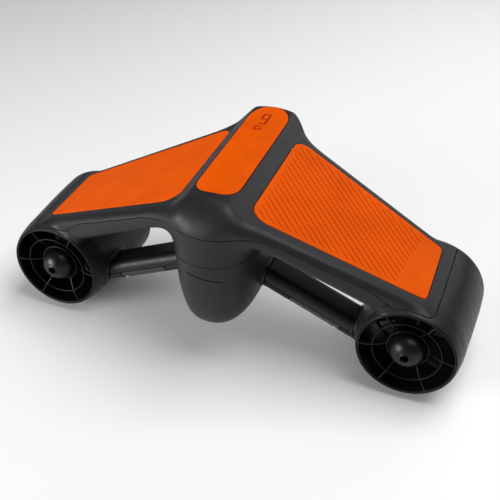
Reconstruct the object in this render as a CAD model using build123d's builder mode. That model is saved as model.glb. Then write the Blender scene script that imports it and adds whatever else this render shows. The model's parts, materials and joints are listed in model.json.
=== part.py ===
from build123d import *

import os
from math import cos, radians, sin, sqrt, tan

os.makedirs("parts", exist_ok=True)

# A hand-held underwater scooter with two thruster ducts. Millimetres, +Z up.
# The origin is the middle of the footprint: X across (to the left of a rider who faces -Y),
# the nose and the duct inlets face -Y, and Z = 0 is the plane the foot pads rest on.

# ------------------------------------------------------------------ driving dimensions
TAIL_Y = 110.2           # tail tip of the spine
DUCT_X = 200.0           # duct axis from the centre plane
DUCT_Z = 60.0            # duct axis above the rest plane
RIM_Y = -67.5            # front rim plane of both ducts
DUCT_LENGTH = 128.0      # rim plane to rear lip
BORE_R = 49.0            # water tunnel
WALL = 3.0               # moulded shells

SEAM_Z = 176.0           # parting plane between cover and frame at the nose
POD_TOP_Z = 140.0        # parting plane between frame and nose pod
POD_BACK_Y = -52.0       # the nose pod ends here, ahead of the grips
HULL_BOTTOM_Z = 53.5
SPINE_Z = 209.0          # spine's flat top, above the origin
SPINE_RISE = 3.05        # degrees, the spine climbs towards the tail
HULL_HALF_WIDTH = 49.6
SPINE_HALF_WIDTH = 26.5
HULL_NOSE_Y = -108.2     # front and rear of the hull at the seam plane
HULL_REAR_Y = 72.6
SECTION_POWER = 2.4      # squareness of the hull's plan sections, 2 is an ellipse
SPINE_POWER = 5.0        # the same at the spine's top

WING_SLOPE = 24.4        # droop of the wing's flat top, degrees
WING_ROOT_X = 20.0
WING_TIP_X = 222.0
PANEL_THICKNESS = 1.8
TIP_SKIN = 2.8           # cover where it wraps the duct

GRIP_SLOPE = 23.2        # droop of the grips, degrees
GRIP_CENTRE = (100.0, -29.0, 71.5)
GRIP_DEPTH = 37.0
GRIP_HEIGHT = 22.5

SHAFT_R = 3.0
RUNNING_GAP = 0.05       # shaft in bearing, radial
SPINNER_R = 19.3
BLADE_TIP_R = 47.6
MOTOR_POD_R = 21.0



# ------------------------------------------------------------------ shared helpers
def save(piece, label):
    """Label one finished piece and write its STEP file."""
    piece.label = label
    export_step(piece, f"parts/{label}.step")


def mirrored(piece):
    """The same piece on the other side of the centre plane."""
    return mirror(piece, about=Plane.YZ)


def save_pair(right_piece, name):
    """Write a right-hand piece and its mirror image."""
    save(mirrored(right_piece), f"left_{name}")
    save(right_piece, f"right_{name}")


def box_between(low, high):
    """An axis-aligned block given by two corners."""
    size = [b - a for a, b in zip(low, high)]
    middle = [(a + b) / 2 for a, b in zip(low, high)]
    with BuildPart() as block:
        with Locations(tuple(middle)):
            Box(*size)
    return block.part


def spun(points, axis_x=DUCT_X, axis_z=DUCT_Z, start_y=RIM_Y):
    """A solid of revolution about a Y-parallel axis from (radius, distance behind the rim)."""
    with BuildPart() as body:
        with BuildSketch(Plane.XY.offset(axis_z)):
            with BuildLine():
                Polyline([(axis_x + r, start_y + s) for r, s in points], close=True)
            make_face()
        revolve(axis=Axis((axis_x, 0, axis_z), (0, 1, 0)))
    return body.part


def ring(inner, outer, front, back):
    """A plain ring about the right duct's axis."""
    return spun([(inner, front), (outer, front), (outer, back), (inner, back)])


# ------------------------------------------------------------------ hull form
def hull_station(height):
    """Half width, front and rear of the hull at one height."""
    if height <= SEAM_Z:
        down = (SEAM_Z - height) / (SEAM_Z - HULL_BOTTOM_Z)
        narrowing = max(1 - down**1.2, 0.0) ** 0.2
        middle = (HULL_NOSE_Y + HULL_REAR_Y) / 2 - 22.0 * down
        half_length = (HULL_REAR_Y - HULL_NOSE_Y) / 2 * narrowing
        return HULL_HALF_WIDTH * narrowing, middle - half_length, middle + half_length
    up = (height - SEAM_Z) / (SPINE_Z - SEAM_Z)
    half_width = HULL_HALF_WIDTH - (HULL_HALF_WIDTH - SPINE_HALF_WIDTH) * up**1.2
    front = HULL_NOSE_Y + 29.0 * up**1.4
    rear = HULL_REAR_Y + (TAIL_Y - HULL_REAR_Y) * (1 - (1 - up) ** 2)
    return half_width, front, rear


def hull_section(height, inset):
    """Closed plan curve of the hull at one height, as points for a periodic spline."""
    half_width, front, rear = hull_station(height)
    up = max(0.0, (height - SEAM_Z) / (SPINE_Z - SEAM_Z))
    power = SECTION_POWER + (SPINE_POWER - SECTION_POWER) * up
    half_width -= inset
    middle = (front + rear) / 2
    half_length = (rear - front) / 2 - inset
    points = []
    for k in range(20):
        c = cos(radians(18 * k))
        s = sin(radians(18 * k))
        x = half_width * abs(c) ** (2 / power) * (1 if c >= 0 else -1)
        y = middle + half_length * abs(s) ** (2 / power) * (1 if s >= 0 else -1)
        points.append((x, y))
    return points


def hull_plane(height):
    """Section plane of the hull, tilting with the spine above the seam."""
    tilt = radians(SPINE_RISE) * max(0.0, (height - SEAM_Z) / (SPINE_Z - SEAM_Z))
    return Plane(origin=(0, 0, height), x_dir=(1, 0, 0), z_dir=(0, -sin(tilt), cos(tilt)))


def spine_plane(offset=0.0):
    """The spine's top plane, or one parallel to it."""
    return hull_plane(SPINE_Z).offset(offset)


def hull_form(inset=0.0):
    """The hull from its rounded bottom to the spine's flat top."""
    bottom = HULL_BOTTOM_Z + inset + 0.4
    knee = HULL_BOTTOM_Z + inset + 9.0
    top = SPINE_Z - inset
    with BuildPart() as form:
        for height in (bottom, bottom + 2.5, knee, 78.0, 100.0, POD_TOP_Z, SEAM_Z, 187.0, 198.0):
            with BuildSketch(hull_plane(height)):
                with BuildLine():
                    Spline(hull_section(height, inset), periodic=True)
                make_face()
        with BuildSketch(spine_plane(-inset)):
            with BuildLine():
                Spline(hull_section(top, inset), periodic=True)
            make_face()
        loft()
    return form.part


# ------------------------------------------------------------------ wing form
def wing_top(x):
    """Height of the wing's flat top at its middle, by distance from the centre plane."""
    return 196.5 - tan(radians(WING_SLOPE)) * (x - 37.6)


def wing_underside(x):
    """Height of the wing's underside."""
    return 166.0 - 0.548 * (x - 50.0)


def wing_section(x, inset):
    """Centre and size of the wing's rounded section at one distance from the centre plane."""
    reach = (x - WING_ROOT_X) / (WING_TIP_X - WING_ROOT_X)
    front = -98.0 + 40.0 * reach + inset
    rear = 85.0 - 30.0 * reach - inset
    top = wing_top(x) - inset
    bottom = wing_underside(x) + inset
    return (front + rear) / 2, (top + bottom) / 2, rear - front, top - bottom


def wing_form(inset=0.0):
    """The right wing's mass from inside the hull to the duct."""
    with BuildPart() as form:
        for x in (WING_ROOT_X, WING_TIP_X - inset):
            y, z, length, height = wing_section(x, inset)
            section = Plane(origin=(x, y, z), x_dir=(0, 1, 0), z_dir=(1, 0, 0))
            with BuildSketch(section):
                RectangleRounded(length, height, 9.5 - inset)
        loft()
    return form.part


# ------------------------------------------------------------------ duct form
def duct_outline():
    """Outer profile of a duct as (radius, distance behind the rim)."""
    return [(51.2, 0), (53.2, 6), (54.6, 20), (56.0, 48), (57.6, 80), (58.4, 104),
            (57.4, 117), (54.6, 125), (51.6, DUCT_LENGTH)]


def duct_mass():
    """The duct without its bore."""
    return spun([(0, 0)] + duct_outline() + [(0, DUCT_LENGTH)])


def duct_sector(from_degrees, to_degrees, front, back):
    """A wedge about the duct's axis, angles from +X towards +Z."""
    far = 90.0
    corners = [(0, 0)]
    for angle in (from_degrees, (from_degrees + to_degrees) / 2, to_degrees):
        corners.append((far * cos(radians(angle)), far * sin(radians(angle))))
    start = Plane(origin=(DUCT_X, RIM_Y + back, DUCT_Z), x_dir=(1, 0, 0), z_dir=(0, -1, 0))
    with BuildPart() as wedge:
        with BuildSketch(start):
            with BuildLine():
                Polyline(corners, close=True)
            make_face()
        extrude(amount=back - front)
    return wedge.part


COVER_WRAP = (50.0, 112.0)     # angles of the duct that the cover wraps
COVER_FRONT = 7.0              # the wrap starts this far behind the rim
COVER_BACK = 112.0


def above_seam():
    """Everything over the parting line between the cover and the frame, full width."""
    half = [(0, SEAM_Z), (42, SEAM_Z), (73, 159), (186, 113.3), (186, 60), (290, 60), (290, 260)]
    outline = half + [(-x, z) for x, z in reversed(half)]
    with BuildPart() as region:
        with BuildSketch(Plane.XZ.offset(-150)):
            with BuildLine():
                Polyline(outline[1:-1], close=True)
            make_face()
        extrude(amount=300)
    return region.part


hull = hull_form()
hull_void = hull_form(WALL)
right_wing = wing_form()
right_wing_void = wing_form(WALL)
right_duct = duct_mass()
cover_region = above_seam()
wrap_region = duct_sector(*COVER_WRAP, COVER_FRONT, COVER_BACK)
pod_region = box_between((-80, -130, 0), (80, POD_BACK_Y, POD_TOP_Z))


# ------------------------------------------------------------------ orange inlays
def wing_panel_face():
    """Plane of the right wing's flat top."""
    slope = radians(WING_SLOPE)
    return Plane(
        origin=(37.6, 0, wing_top(37.6)),
        x_dir=(cos(slope), 0, -sin(slope)),
        z_dir=(sin(slope), 0, cos(slope)),
    )


def wing_panel_outline(gap):
    """Plan of the right inlay in the plane of the wing's top, corners rounded."""
    along = 1 / cos(radians(WING_SLOPE))
    outer = (209.5 - 37.6) * along
    with BuildLine() as outline:
        Polyline((0, -80), (outer, -46.7), (outer, 44.5), (0, 66), close=True)
    with BuildSketch() as plan:
        add(outline.line)
        make_face()
        corners = plan.vertices().sort_by(Axis.X)
        fillet(corners[:2], 14.0)
        fillet(plan.vertices().sort_by(Axis.X)[-2:], 5.0)
        offset(amount=gap)
    return plan.sketch


def wing_panel_solid(gap, depth):
    """The inlay, or with a gap its pocket."""
    face = wing_panel_face()
    with BuildPart() as panel:
        with BuildSketch(face.offset(-depth)):
            add(wing_panel_outline(gap))
        extrude(amount=depth)
    return panel.part


CENTRE_PANEL_FRONT_Y = -75.5
CENTRE_PANEL_REAR_Y = 102.0
CENTRE_PANEL_HALF_WIDTH = 22.6
CENTRE_PANEL_CROWN = 2.4         # the strip stands this far out of the spine's top


def centre_panel_solid(gap, height):
    """The centre strip from the pocket's floor up, or with a gap its pocket."""
    length = CENTRE_PANEL_REAR_Y - CENTRE_PANEL_FRONT_Y
    middle = (CENTRE_PANEL_REAR_Y + CENTRE_PANEL_FRONT_Y) / 2
    with BuildPart() as strip:
        with BuildSketch(spine_plane(-PANEL_THICKNESS)):
            with Locations((0, middle)):
                RectangleRounded(2 * CENTRE_PANEL_HALF_WIDTH, length, 18.0)
            offset(amount=gap)
        extrude(amount=height)
    return strip.part


# ------------------------------------------------------------------ display numeral
NUMERAL_Y = 73.0
LEVEL_Y = 54.0
SEGMENT_LENGTH = 7.0
SEGMENT_WIDTH = 1.4


def numeral_sketch():
    """One seven-segment numeral and a two-bar level mark, flat."""
    half = SEGMENT_LENGTH / 2 + SEGMENT_WIDTH / 2
    with BuildSketch() as numeral:
        with Locations((0, NUMERAL_Y - 2 * half), (0, NUMERAL_Y), (0, NUMERAL_Y + 2 * half)):
            SlotOverall(SEGMENT_LENGTH, SEGMENT_WIDTH)
        with Locations((-half, NUMERAL_Y - half), (-half, NUMERAL_Y + half)):
            SlotOverall(SEGMENT_LENGTH, SEGMENT_WIDTH, rotation=90)
        with Locations((0, LEVEL_Y - 1.6), (0, LEVEL_Y + 1.6)):
            SlotOverall(SEGMENT_LENGTH, SEGMENT_WIDTH)
    return numeral.sketch


with BuildPart() as display_digits:
    with BuildSketch(spine_plane(-PANEL_THICKNESS)):
        add(numeral_sketch())
    extrude(amount=PANEL_THICKNESS + CENTRE_PANEL_CROWN)

with BuildPart() as centre_panel:
    add(centre_panel_solid(0, PANEL_THICKNESS + CENTRE_PANEL_CROWN))
    fillet(centre_panel.faces().sort_by_distance((0, 0, 400))[0].edges(), 2.2)
    add(display_digits.part, mode=Mode.SUBTRACT)


def display_block(size_x, size_y, height):
    """A rounded block hanging under the centre panel's pocket."""
    with BuildPart() as block:
        with BuildSketch(spine_plane(-PANEL_THICKNESS - height)):
            with Locations((0, (NUMERAL_Y + LEVEL_Y) / 2 + 2)):
                RectangleRounded(size_x, size_y, 2.0)
        extrude(amount=height)
    return block.part


display_module = display_block(26, 44, 3.6)
display_window = display_block(26.6, 44.6, 3.6)
right_wing_panel = wing_panel_solid(0, PANEL_THICKNESS)
save(centre_panel.part, "centre_panel")
save(display_digits.part, "display_digits")
save(display_module, "display_module")
save_pair(right_wing_panel, "wing_panel")


# ------------------------------------------------------------------ case screws
SCREW_PLACES = ((82.0, -52.0), (82.0, 48.0), (138.0, -46.0), (138.0, 40.0))
SCREW_R = 1.5
SCREW_HEAD_R = 2.9
SCREW_LENGTH = 20.0
HEAD_SINK = 2.4          # heads sit this far inside the underside


def seam_height(x):
    """Height of the parting line under the wing."""
    return 159.0 - 0.404 * (x - 73.0)


def post(x, y, radius, low, high):
    """An upright cylinder."""
    with BuildPart() as pillar:
        with BuildSketch(Plane.XY.offset(low)):
            with Locations((x, y)):
                Circle(radius)
        extrude(amount=high - low)
    return pillar.part


def case_screw(x, y):
    """One pan-head screw driven upwards from the wing's underside."""
    foot = wing_underside(x) + HEAD_SINK
    with BuildPart() as screw:
        add(post(x, y, SCREW_HEAD_R, foot, foot + 2.0))
        add(post(x, y, SCREW_R, foot + 2.0, foot + SCREW_LENGTH))
        with BuildSketch(Plane.XY.offset(foot)):
            with Locations((x, y)):
                RegularPolygon(1.5, 6)
        extrude(amount=1.2, mode=Mode.SUBTRACT)
    return screw.part


def cover_boss(x, y):
    """Boss inside the cover that a case screw bites into."""
    return post(x, y, 3.8, seam_height(x) + 0.6, wing_top(x) + 10)


def cover_pilot(x, y):
    """Pilot hole of a cover boss."""
    foot = wing_underside(x) + HEAD_SINK
    return post(x, y, SCREW_R, seam_height(x) - 5, foot + SCREW_LENGTH)


def frame_boss(x, y):
    """Boss in the frame that a case screw passes through."""
    return post(x, y, 4.6, wing_underside(x) - 10, seam_height(x))


def frame_clearance(x, y):
    """Counterbored way through a frame boss."""
    foot = wing_underside(x) + HEAD_SINK
    with BuildPart() as way:
        add(post(x, y, SCREW_HEAD_R + 0.3, foot - 12, foot + 2.0))
        add(post(x, y, SCREW_R + 0.2, foot, seam_height(x) + 3))
    return way.part


def at_screws(shape):
    """One such shape at every screw, both wings, as a list of solids."""
    right = [shape(x, y) for x, y in SCREW_PLACES]
    return right + [mirrored(piece) for piece in right]


def bosses(shape):
    """Bosses at every screw, trimmed to the wings' outside."""
    with BuildPart() as posts:
        for x, y in SCREW_PLACES:
            add(shape(x, y))
        add(right_wing, mode=Mode.INTERSECT)
    return [posts.part, mirrored(posts.part)]


save(Compound(children=at_screws(case_screw)), "case_screws")


# ------------------------------------------------------------------ top cover
def duct_skin(outer_inset, inner_inset, region):
    """A layer of the duct's wall between two depths, inside a wedge."""
    outer = [(r - outer_inset, s) for r, s in duct_outline()]
    inner = [(r - inner_inset, s) for r, s in reversed(duct_outline())]
    return spun(outer + inner) & region


with BuildPart() as top_cover:
    add(hull)
    add(right_wing)
    add(mirrored(right_wing))
    add(hull_void, mode=Mode.SUBTRACT)
    add(right_wing_void, mode=Mode.SUBTRACT)
    add(mirrored(right_wing_void), mode=Mode.SUBTRACT)
    add(cover_region, mode=Mode.INTERSECT)
    add(right_duct, mode=Mode.SUBTRACT)
    add(mirrored(right_duct), mode=Mode.SUBTRACT)
    add(duct_skin(0, TIP_SKIN, wrap_region))
    add(mirrored(duct_skin(0, TIP_SKIN, wrap_region)))
    add(bosses(cover_boss))
    pocket = wing_panel_solid(0.25, PANEL_THICKNESS)
    add(pocket, mode=Mode.SUBTRACT)
    add(mirrored(pocket), mode=Mode.SUBTRACT)
    add(centre_panel_solid(0.25, 20), mode=Mode.SUBTRACT)
    add(display_window, mode=Mode.SUBTRACT)
    add(at_screws(cover_pilot), mode=Mode.SUBTRACT)
save(top_cover.part, "top_cover")


# ------------------------------------------------------------------ lower frame
BAY_GAP = 1.0            # battery case in the frame's opening
DECK_THICKNESS = 2.5
BULKHEAD_THICKNESS = 3.0
BUTTON_Z = 152.0
BUTTON_R = 7.0
BUTTON_TRAVEL = 2.0


def bay_outline(gap):
    """Front view of the battery case."""
    half = [(20.5, 69.5), (30.0, 88.0), (30.0, 128.5)]
    outline = half + [(-x, z) for x, z in reversed(half)]
    with BuildSketch() as plan:
        with BuildLine():
            Polyline(outline, close=True)
        make_face()
        fillet(plan.vertices(), 3.0)
        offset(amount=gap)
    return plan.sketch


def bay_prism(gap, front, back):
    """The battery case's outline carried from front to back."""
    with BuildPart() as prism:
        with BuildSketch(Plane(origin=(0, front, 0), x_dir=(-1, 0, 0), z_dir=(0, 1, 0))):
            add(bay_outline(gap))
        extrude(amount=back - front)
    return prism.part


def seal_ring():
    """Flat gasket round the battery opening."""
    with BuildPart() as gasket:
        add(bay_prism(BAY_GAP + 4.2, POD_BACK_Y, POD_BACK_Y + 1.4))
        add(bay_prism(BAY_GAP + 1.6, POD_BACK_Y, POD_BACK_Y + 1.4), mode=Mode.SUBTRACT)
    return gasket.part


pod_seal = seal_ring()
button_hole = Plane(origin=(0, 40, BUTTON_Z), x_dir=(-1, 0, 0), z_dir=(0, 1, 0))

latch_slot = box_between((-5.3, -46, 50), (5.3, -26, 58))
tongue_slot = box_between((-4.4, -57, 56.7), (4.4, -48, 59.5))
latch_stop = box_between((-5, -6, 56), (5, -3.5, 62))

with BuildPart() as deck:
    add(hull_void)
    add(box_between((-80, -130, POD_TOP_Z), (80, 130, POD_TOP_Z + DECK_THICKNESS)),
        mode=Mode.INTERSECT)

with BuildPart() as bulkhead:
    add(hull_void)
    add(box_between((-80, POD_BACK_Y, 0), (80, POD_BACK_Y + BULKHEAD_THICKNESS, POD_TOP_Z)),
        mode=Mode.INTERSECT)
    add(bay_prism(BAY_GAP, POD_BACK_Y - 1, POD_BACK_Y + 5), mode=Mode.SUBTRACT)
    add(pod_seal, mode=Mode.SUBTRACT)

with BuildPart() as lower_frame:
    add(hull)
    add(right_wing)
    add(mirrored(right_wing))
    add(hull_void, mode=Mode.SUBTRACT)
    add(right_wing_void, mode=Mode.SUBTRACT)
    add(mirrored(right_wing_void), mode=Mode.SUBTRACT)
    add(cover_region, mode=Mode.SUBTRACT)
    add(pod_region, mode=Mode.SUBTRACT)
    add(right_duct, mode=Mode.SUBTRACT)
    add(mirrored(right_duct), mode=Mode.SUBTRACT)
    add(deck.part)
    add(bulkhead.part)
    add(bosses(frame_boss))
    add(at_screws(frame_clearance), mode=Mode.SUBTRACT)
    add(latch_stop)
    add(latch_slot, mode=Mode.SUBTRACT)
    add(tongue_slot, mode=Mode.SUBTRACT)
    with BuildSketch(button_hole):
        Circle(BUTTON_R + 0.3)
    extrude(amount=40, mode=Mode.SUBTRACT)
save(lower_frame.part, "lower_frame")
save(pod_seal, "pod_seal")


# ------------------------------------------------------------------ nose pod and battery
POD_GAP = 0.3
CELL_R = 9.1
CELL_LENGTH = 65.0
CELL_FRONT_Y = -71.5
CELL_ROWS = ((80.5, 2), (99.2, 3), (117.9, 3))   # height of each row and its cells
CELL_PITCH = 18.6
CASE_WALL = 1.4

with BuildPart() as nose_pod:
    add(hull)
    low_back = (80, POD_BACK_Y - POD_GAP, POD_TOP_Z - POD_GAP)
    add(box_between((-80, -130, 0), low_back), mode=Mode.INTERSECT)
    with BuildPart(mode=Mode.PRIVATE) as pod_void:
        add(hull_void)
        add(box_between((-80, -130, 0), (80, POD_BACK_Y - 3, POD_TOP_Z - 3)), mode=Mode.INTERSECT)
    add(pod_void.part, mode=Mode.SUBTRACT)
    add(bay_prism(0.0, POD_BACK_Y - 4, POD_BACK_Y + 1), mode=Mode.SUBTRACT)
    add(tongue_slot, mode=Mode.SUBTRACT)
save(nose_pod.part, "nose_pod")


def coil(front, length, radius, wire, turns):
    """A compression spring reaching rearwards from a point, round wire."""
    start = Vector(*front) + Vector(0, wire, 0)
    rise = length - 2 * wire
    with BuildPart() as spring:
        with BuildLine():
            path = Helix(rise / turns, rise, radius, center=start, direction=(0, 1, 0))
        with BuildSketch(Plane(origin=path @ 0, z_dir=path % 0)):
            Circle(wire)
        sweep(is_frenet=True)
    return spring.part


with BuildPart() as pod_latch:
    add(box_between((-9, -48.5, 57.1), (9, -24.5, 59.1)))
    add(box_between((-4, -56, 57.1), (4, -48.5, 59.1)))
    add(box_between((-5, -45.5, 52.2), (5, -33.5, 57.5)))
    for y in (-42.5, -39.5, -36.5):
        add(box_between((-6, y - 0.6, 51.9), (6, y + 0.6, 52.8)), mode=Mode.SUBTRACT)
save(pod_latch.part, "pod_latch")
save(coil((0, -24.4, 59.6), 18.3, 1.9, 0.3, 8), "latch_spring")

with BuildPart() as battery_case:
    add(bay_prism(0.0, CELL_FRONT_Y - 2.5, CELL_FRONT_Y + CELL_LENGTH + 2.5))
    add(bay_prism(-CASE_WALL, CELL_FRONT_Y - 1.0, CELL_FRONT_Y + CELL_LENGTH + 1.0),
        mode=Mode.SUBTRACT)
save(battery_case.part, "battery_case")


def cell_places():
    """Centres of the cells in the front view, widest rows on top."""
    places = []
    for height, count in CELL_ROWS:
        places += [((k - (count - 1) / 2) * CELL_PITCH, height) for k in range(count)]
    return places


def cell(x, z):
    """One round cell lying front to back, with its raised cap."""
    start = Plane(origin=(x, CELL_FRONT_Y, z), x_dir=(-1, 0, 0), z_dir=(0, 1, 0))
    with BuildPart() as body:
        with BuildSketch(start):
            Circle(CELL_R)
        extrude(amount=CELL_LENGTH - 1.0)
        fillet(body.edges(), 0.6)
        with BuildSketch(start.offset(CELL_LENGTH - 1.0)):
            Circle(3.2)
        extrude(amount=1.0)
    return body.part


save(Compound(children=[cell(x, z) for x, z in cell_places()]), "battery_cells")


def contact_set(y, length, radius):
    """Two round contacts side by side behind the battery case."""
    pins = []
    for x in (-8.0, 8.0):
        with BuildPart() as pin:
            with BuildSketch(Plane(origin=(x, y, 108.5), x_dir=(-1, 0, 0), z_dir=(0, 1, 0))):
                Circle(radius)
            extrude(amount=length)
        pins.append(pin.part)
    return pins


case_back_y = CELL_FRONT_Y + CELL_LENGTH + 2.5
save(Compound(children=contact_set(case_back_y, 3.0, 3.0)), "battery_contacts")

with BuildPart() as contact_block:
    add(box_between((-16, case_back_y + 4.0, 100), (16, case_back_y + 10.0, 117)))
    add(box_between((-16, case_back_y + 6.0, 117), (16, case_back_y + 10.0, POD_TOP_Z)))
    for pin in contact_set(case_back_y + 3.0, 1.6, 2.4):
        add(pin)
save(contact_block.part, "contact_block")


# ------------------------------------------------------------------ electronics
with BuildPart() as control_board:
    add(box_between((-28, -40, 145.5), (28, 40, 147.1)))
    for x in (-22.0, 22.0):
        for y in (-34.0, 34.0):
            add(post(x, y, 2.5, POD_TOP_Z + DECK_THICKNESS, 146.0))
    for x in (-14.0, 14.0):
        add(box_between((x - 7, -26, 147.0), (x + 7, -6, 150.0)))
        add(post(x, 12.0, 5.0, 147.0, 159.0))
        add(post(x, 25.0, 5.0, 147.0, 159.0))
save(control_board.part, "control_board")


def motor_wire(offset_y):
    """One phase wire lying along the right wing's hollow."""
    near = Vector(24, offset_y, 187.0)
    far = Vector(158, offset_y, 126.0)
    run = far - near
    with BuildPart() as wire:
        with BuildSketch(Plane(origin=near, z_dir=run)):
            Circle(1.3)
        extrude(amount=run.length)
    return wire.part


wires = [motor_wire(10.0 + 4.0 * k) for k in range(3)]
save(Compound(children=wires + [mirrored(wire) for wire in wires]), "motor_wires")


# ------------------------------------------------------------------ power button
button_back = Plane(origin=(0, 57.0, BUTTON_Z), x_dir=(-1, 0, 0), z_dir=(0, 1, 0))
with BuildPart() as power_button:
    with BuildSketch(button_back):
        Circle(BUTTON_R + 1.4)
    extrude(amount=1.6)
    with BuildSketch(button_back):
        Circle(BUTTON_R)
    extrude(amount=10.2)
    fillet(power_button.faces().sort_by(Axis.Y)[-1].edges(), 1.0)
save(power_button.part, "power_button")

with BuildPart() as power_switch:
    add(box_between((-6, 46.0, BUTTON_Z - 6), (6, 52.5, BUTTON_Z + 6)))
    add(box_between((-6, 41.0, POD_TOP_Z + DECK_THICKNESS), (6, 47.0, BUTTON_Z)))
    with BuildSketch(button_back.offset(-5.0)):
        Circle(2.0)
    extrude(amount=5.0 - BUTTON_TRAVEL - 0.3)
save(power_switch.part, "power_switch")


# ------------------------------------------------------------------ grips and triggers
GRIP_WALL = 2.6
GRIP_SPLIT = -1.5        # parting plane of the grip's two shells, up its normal
PIVOT_ALONG = 27.0       # trigger pin, along the grip towards the duct
PIVOT_DEPTH = -14.3      # trigger pin, from the grip's middle towards its front
PIN_R = 1.5

grip_run = Vector(cos(radians(GRIP_SLOPE)), 0, -sin(radians(GRIP_SLOPE)))
grip_up = Vector(sin(radians(GRIP_SLOPE)), 0, cos(radians(GRIP_SLOPE)))
grip_middle = Vector(*GRIP_CENTRE)


def grip_section(along):
    """Cross-section plane of the right grip: x is rearwards, y is up the grip's normal."""
    return Plane(origin=grip_middle + grip_run * along, x_dir=(0, 1, 0), z_dir=grip_run)


def grip_block(along, depth, height):
    """A block in the grip's own directions, each argument a (low, high) pair."""
    with BuildPart() as block:
        with BuildSketch(grip_section(along[0])):
            with Locations(((depth[0] + depth[1]) / 2, (height[0] + height[1]) / 2)):
                Rectangle(depth[1] - depth[0], height[1] - height[0])
        extrude(amount=along[1] - along[0])
    return block.part


grip_trim = hull_form(-0.1)


def grip_form(inset=0.0):
    """The whole right grip as a rounded bar between hull and duct."""
    with BuildPart() as bar:
        with BuildSketch(grip_section(-80)):
            RectangleRounded(GRIP_DEPTH - 2 * inset, GRIP_HEIGHT - 2 * inset, 9.5 - inset)
        extrude(amount=160)
        add(grip_trim, mode=Mode.SUBTRACT)
        add(right_duct, mode=Mode.SUBTRACT)
    return bar.part


def along_normal(low, high, along, depth, radius):
    """A cylinder along the grip's normal."""
    base = grip_middle + grip_run * along + Vector(0, depth, 0) + grip_up * low
    with BuildPart() as rod:
        with BuildSketch(Plane(origin=base, z_dir=grip_up)):
            Circle(radius)
        extrude(amount=high - low)
    return rod.part


def along_depth(low, high, along, height, radius):
    """A cylinder from front to rear through the grip."""
    base = grip_middle + grip_run * along + Vector(0, low, 0) + grip_up * height
    with BuildPart() as rod:
        with BuildSketch(Plane(origin=base, z_dir=(0, 1, 0))):
            Circle(radius)
        extrude(amount=high - low)
    return rod.part


grip_outer = grip_form()
grip_void = grip_form(GRIP_WALL)
trigger_pin = along_normal(-10.2, 1.0, PIVOT_ALONG, PIVOT_DEPTH, PIN_R)

with BuildPart() as grip:
    add(grip_outer)
    add(grip_void, mode=Mode.SUBTRACT)
    add(grip_block((-90, 90), (-30, 30), (GRIP_SPLIT, 30)), mode=Mode.INTERSECT)
    add(grip_block((PIVOT_ALONG - 5, PIVOT_ALONG + 5), (-16.4, -9), (GRIP_SPLIT, 3)))
    add(trigger_pin, mode=Mode.SUBTRACT)

with BuildPart() as grip_cover:
    add(grip_outer)
    add(grip_void, mode=Mode.SUBTRACT)
    add(grip_block((-90, 90), (-30, 30), (-30, GRIP_SPLIT)), mode=Mode.INTERSECT)
    add(grip_block((-29.5, 31.5), (-30, -6.5), (-9.4, 5)), mode=Mode.SUBTRACT)
    add(grip_block((-26, 11), (-4.0, -2.0), (-9.4, -2)))
    add(grip_block((PIVOT_ALONG - 4, PIVOT_ALONG + 4), (-17, -9), (-10.9, -9.2)))
    add(trigger_pin, mode=Mode.SUBTRACT)

with BuildPart() as trigger:
    with BuildSketch(grip_section(-28.5)):
        RectangleRounded(GRIP_DEPTH - 0.6, GRIP_HEIGHT - 0.6, 9.2)
    extrude(amount=59)
    add(grip_block((-40, 40), (-30, -12.5), (-8.9, -2.0)), mode=Mode.INTERSECT)
    fillet(trigger.edges().filter_by(Axis.Y).group_by(Axis.X)[0], 1.5)
    add(along_normal(-12, 2, PIVOT_ALONG, PIVOT_DEPTH, PIN_R + RUNNING_GAP), mode=Mode.SUBTRACT)
    magnet_seat = along_depth(-14.6, -12.5, -22.0, -5.4, 2.0)
    add(magnet_seat, mode=Mode.SUBTRACT)


trigger_spring = coil(grip_middle + grip_run * 2.0 + Vector(0, -12.4, 0) + grip_up * -5.4,
                      8.3, 2.4, 0.35, 5)
with BuildPart() as trigger_sensor:
    add(grip_block((-25.5, -18.5), (-5.2, -4.0), (-8.4, -2.4)))
    add(grip_block((-23.5, -20.5), (-6.2, -5.0), (-6.9, -3.9)))

save_pair(grip.part, "grip")
save_pair(grip_cover.part, "grip_cover")
save_pair(trigger.part, "trigger")
save_pair(magnet_seat, "trigger_magnet")
save_pair(trigger_spring, "trigger_spring")
save(Compound(children=[trigger_pin, mirrored(trigger_pin)]), "trigger_pins")
save(Compound(children=[trigger_sensor.part, mirrored(trigger_sensor.part)]), "trigger_sensors")


# ------------------------------------------------------------------ ducts
GUARD_SEAT_R = 49.6
GUARD_DEPTH = 6.0
HUB_RING_R = 20.2        # inside of the ring round the spinner

with BuildPart() as duct_housing:
    add(right_duct)
    add(spun([(0, -1), (GUARD_SEAT_R, -1), (GUARD_SEAT_R, GUARD_DEPTH), (BORE_R, GUARD_DEPTH),
              (BORE_R, 116), (50.4, DUCT_LENGTH + 1), (0, DUCT_LENGTH + 1)]), mode=Mode.SUBTRACT)
    add(duct_skin(0, TIP_SKIN, wrap_region), mode=Mode.SUBTRACT)
save_pair(duct_housing.part, "duct_housing")


def spoke(points, thickness):
    """A radial rib on the right duct's axis, outlined as (radius, distance behind the rim)."""
    with BuildPart() as rib:
        with BuildSketch(Plane.XY.offset(DUCT_Z - thickness / 2)):
            with BuildLine():
                Polyline([(DUCT_X + r, RIM_Y + s) for r, s in points], close=True)
            make_face()
        extrude(amount=thickness)
    return rib.part


def around_axis(piece, count, first=0.0):
    """Copies of a piece spaced evenly about the right duct's axis."""
    axis = Axis((DUCT_X, 0, DUCT_Z), (0, 1, 0))
    return [piece.rotate(axis, first + 360 * k / count) for k in range(count)]


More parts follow.
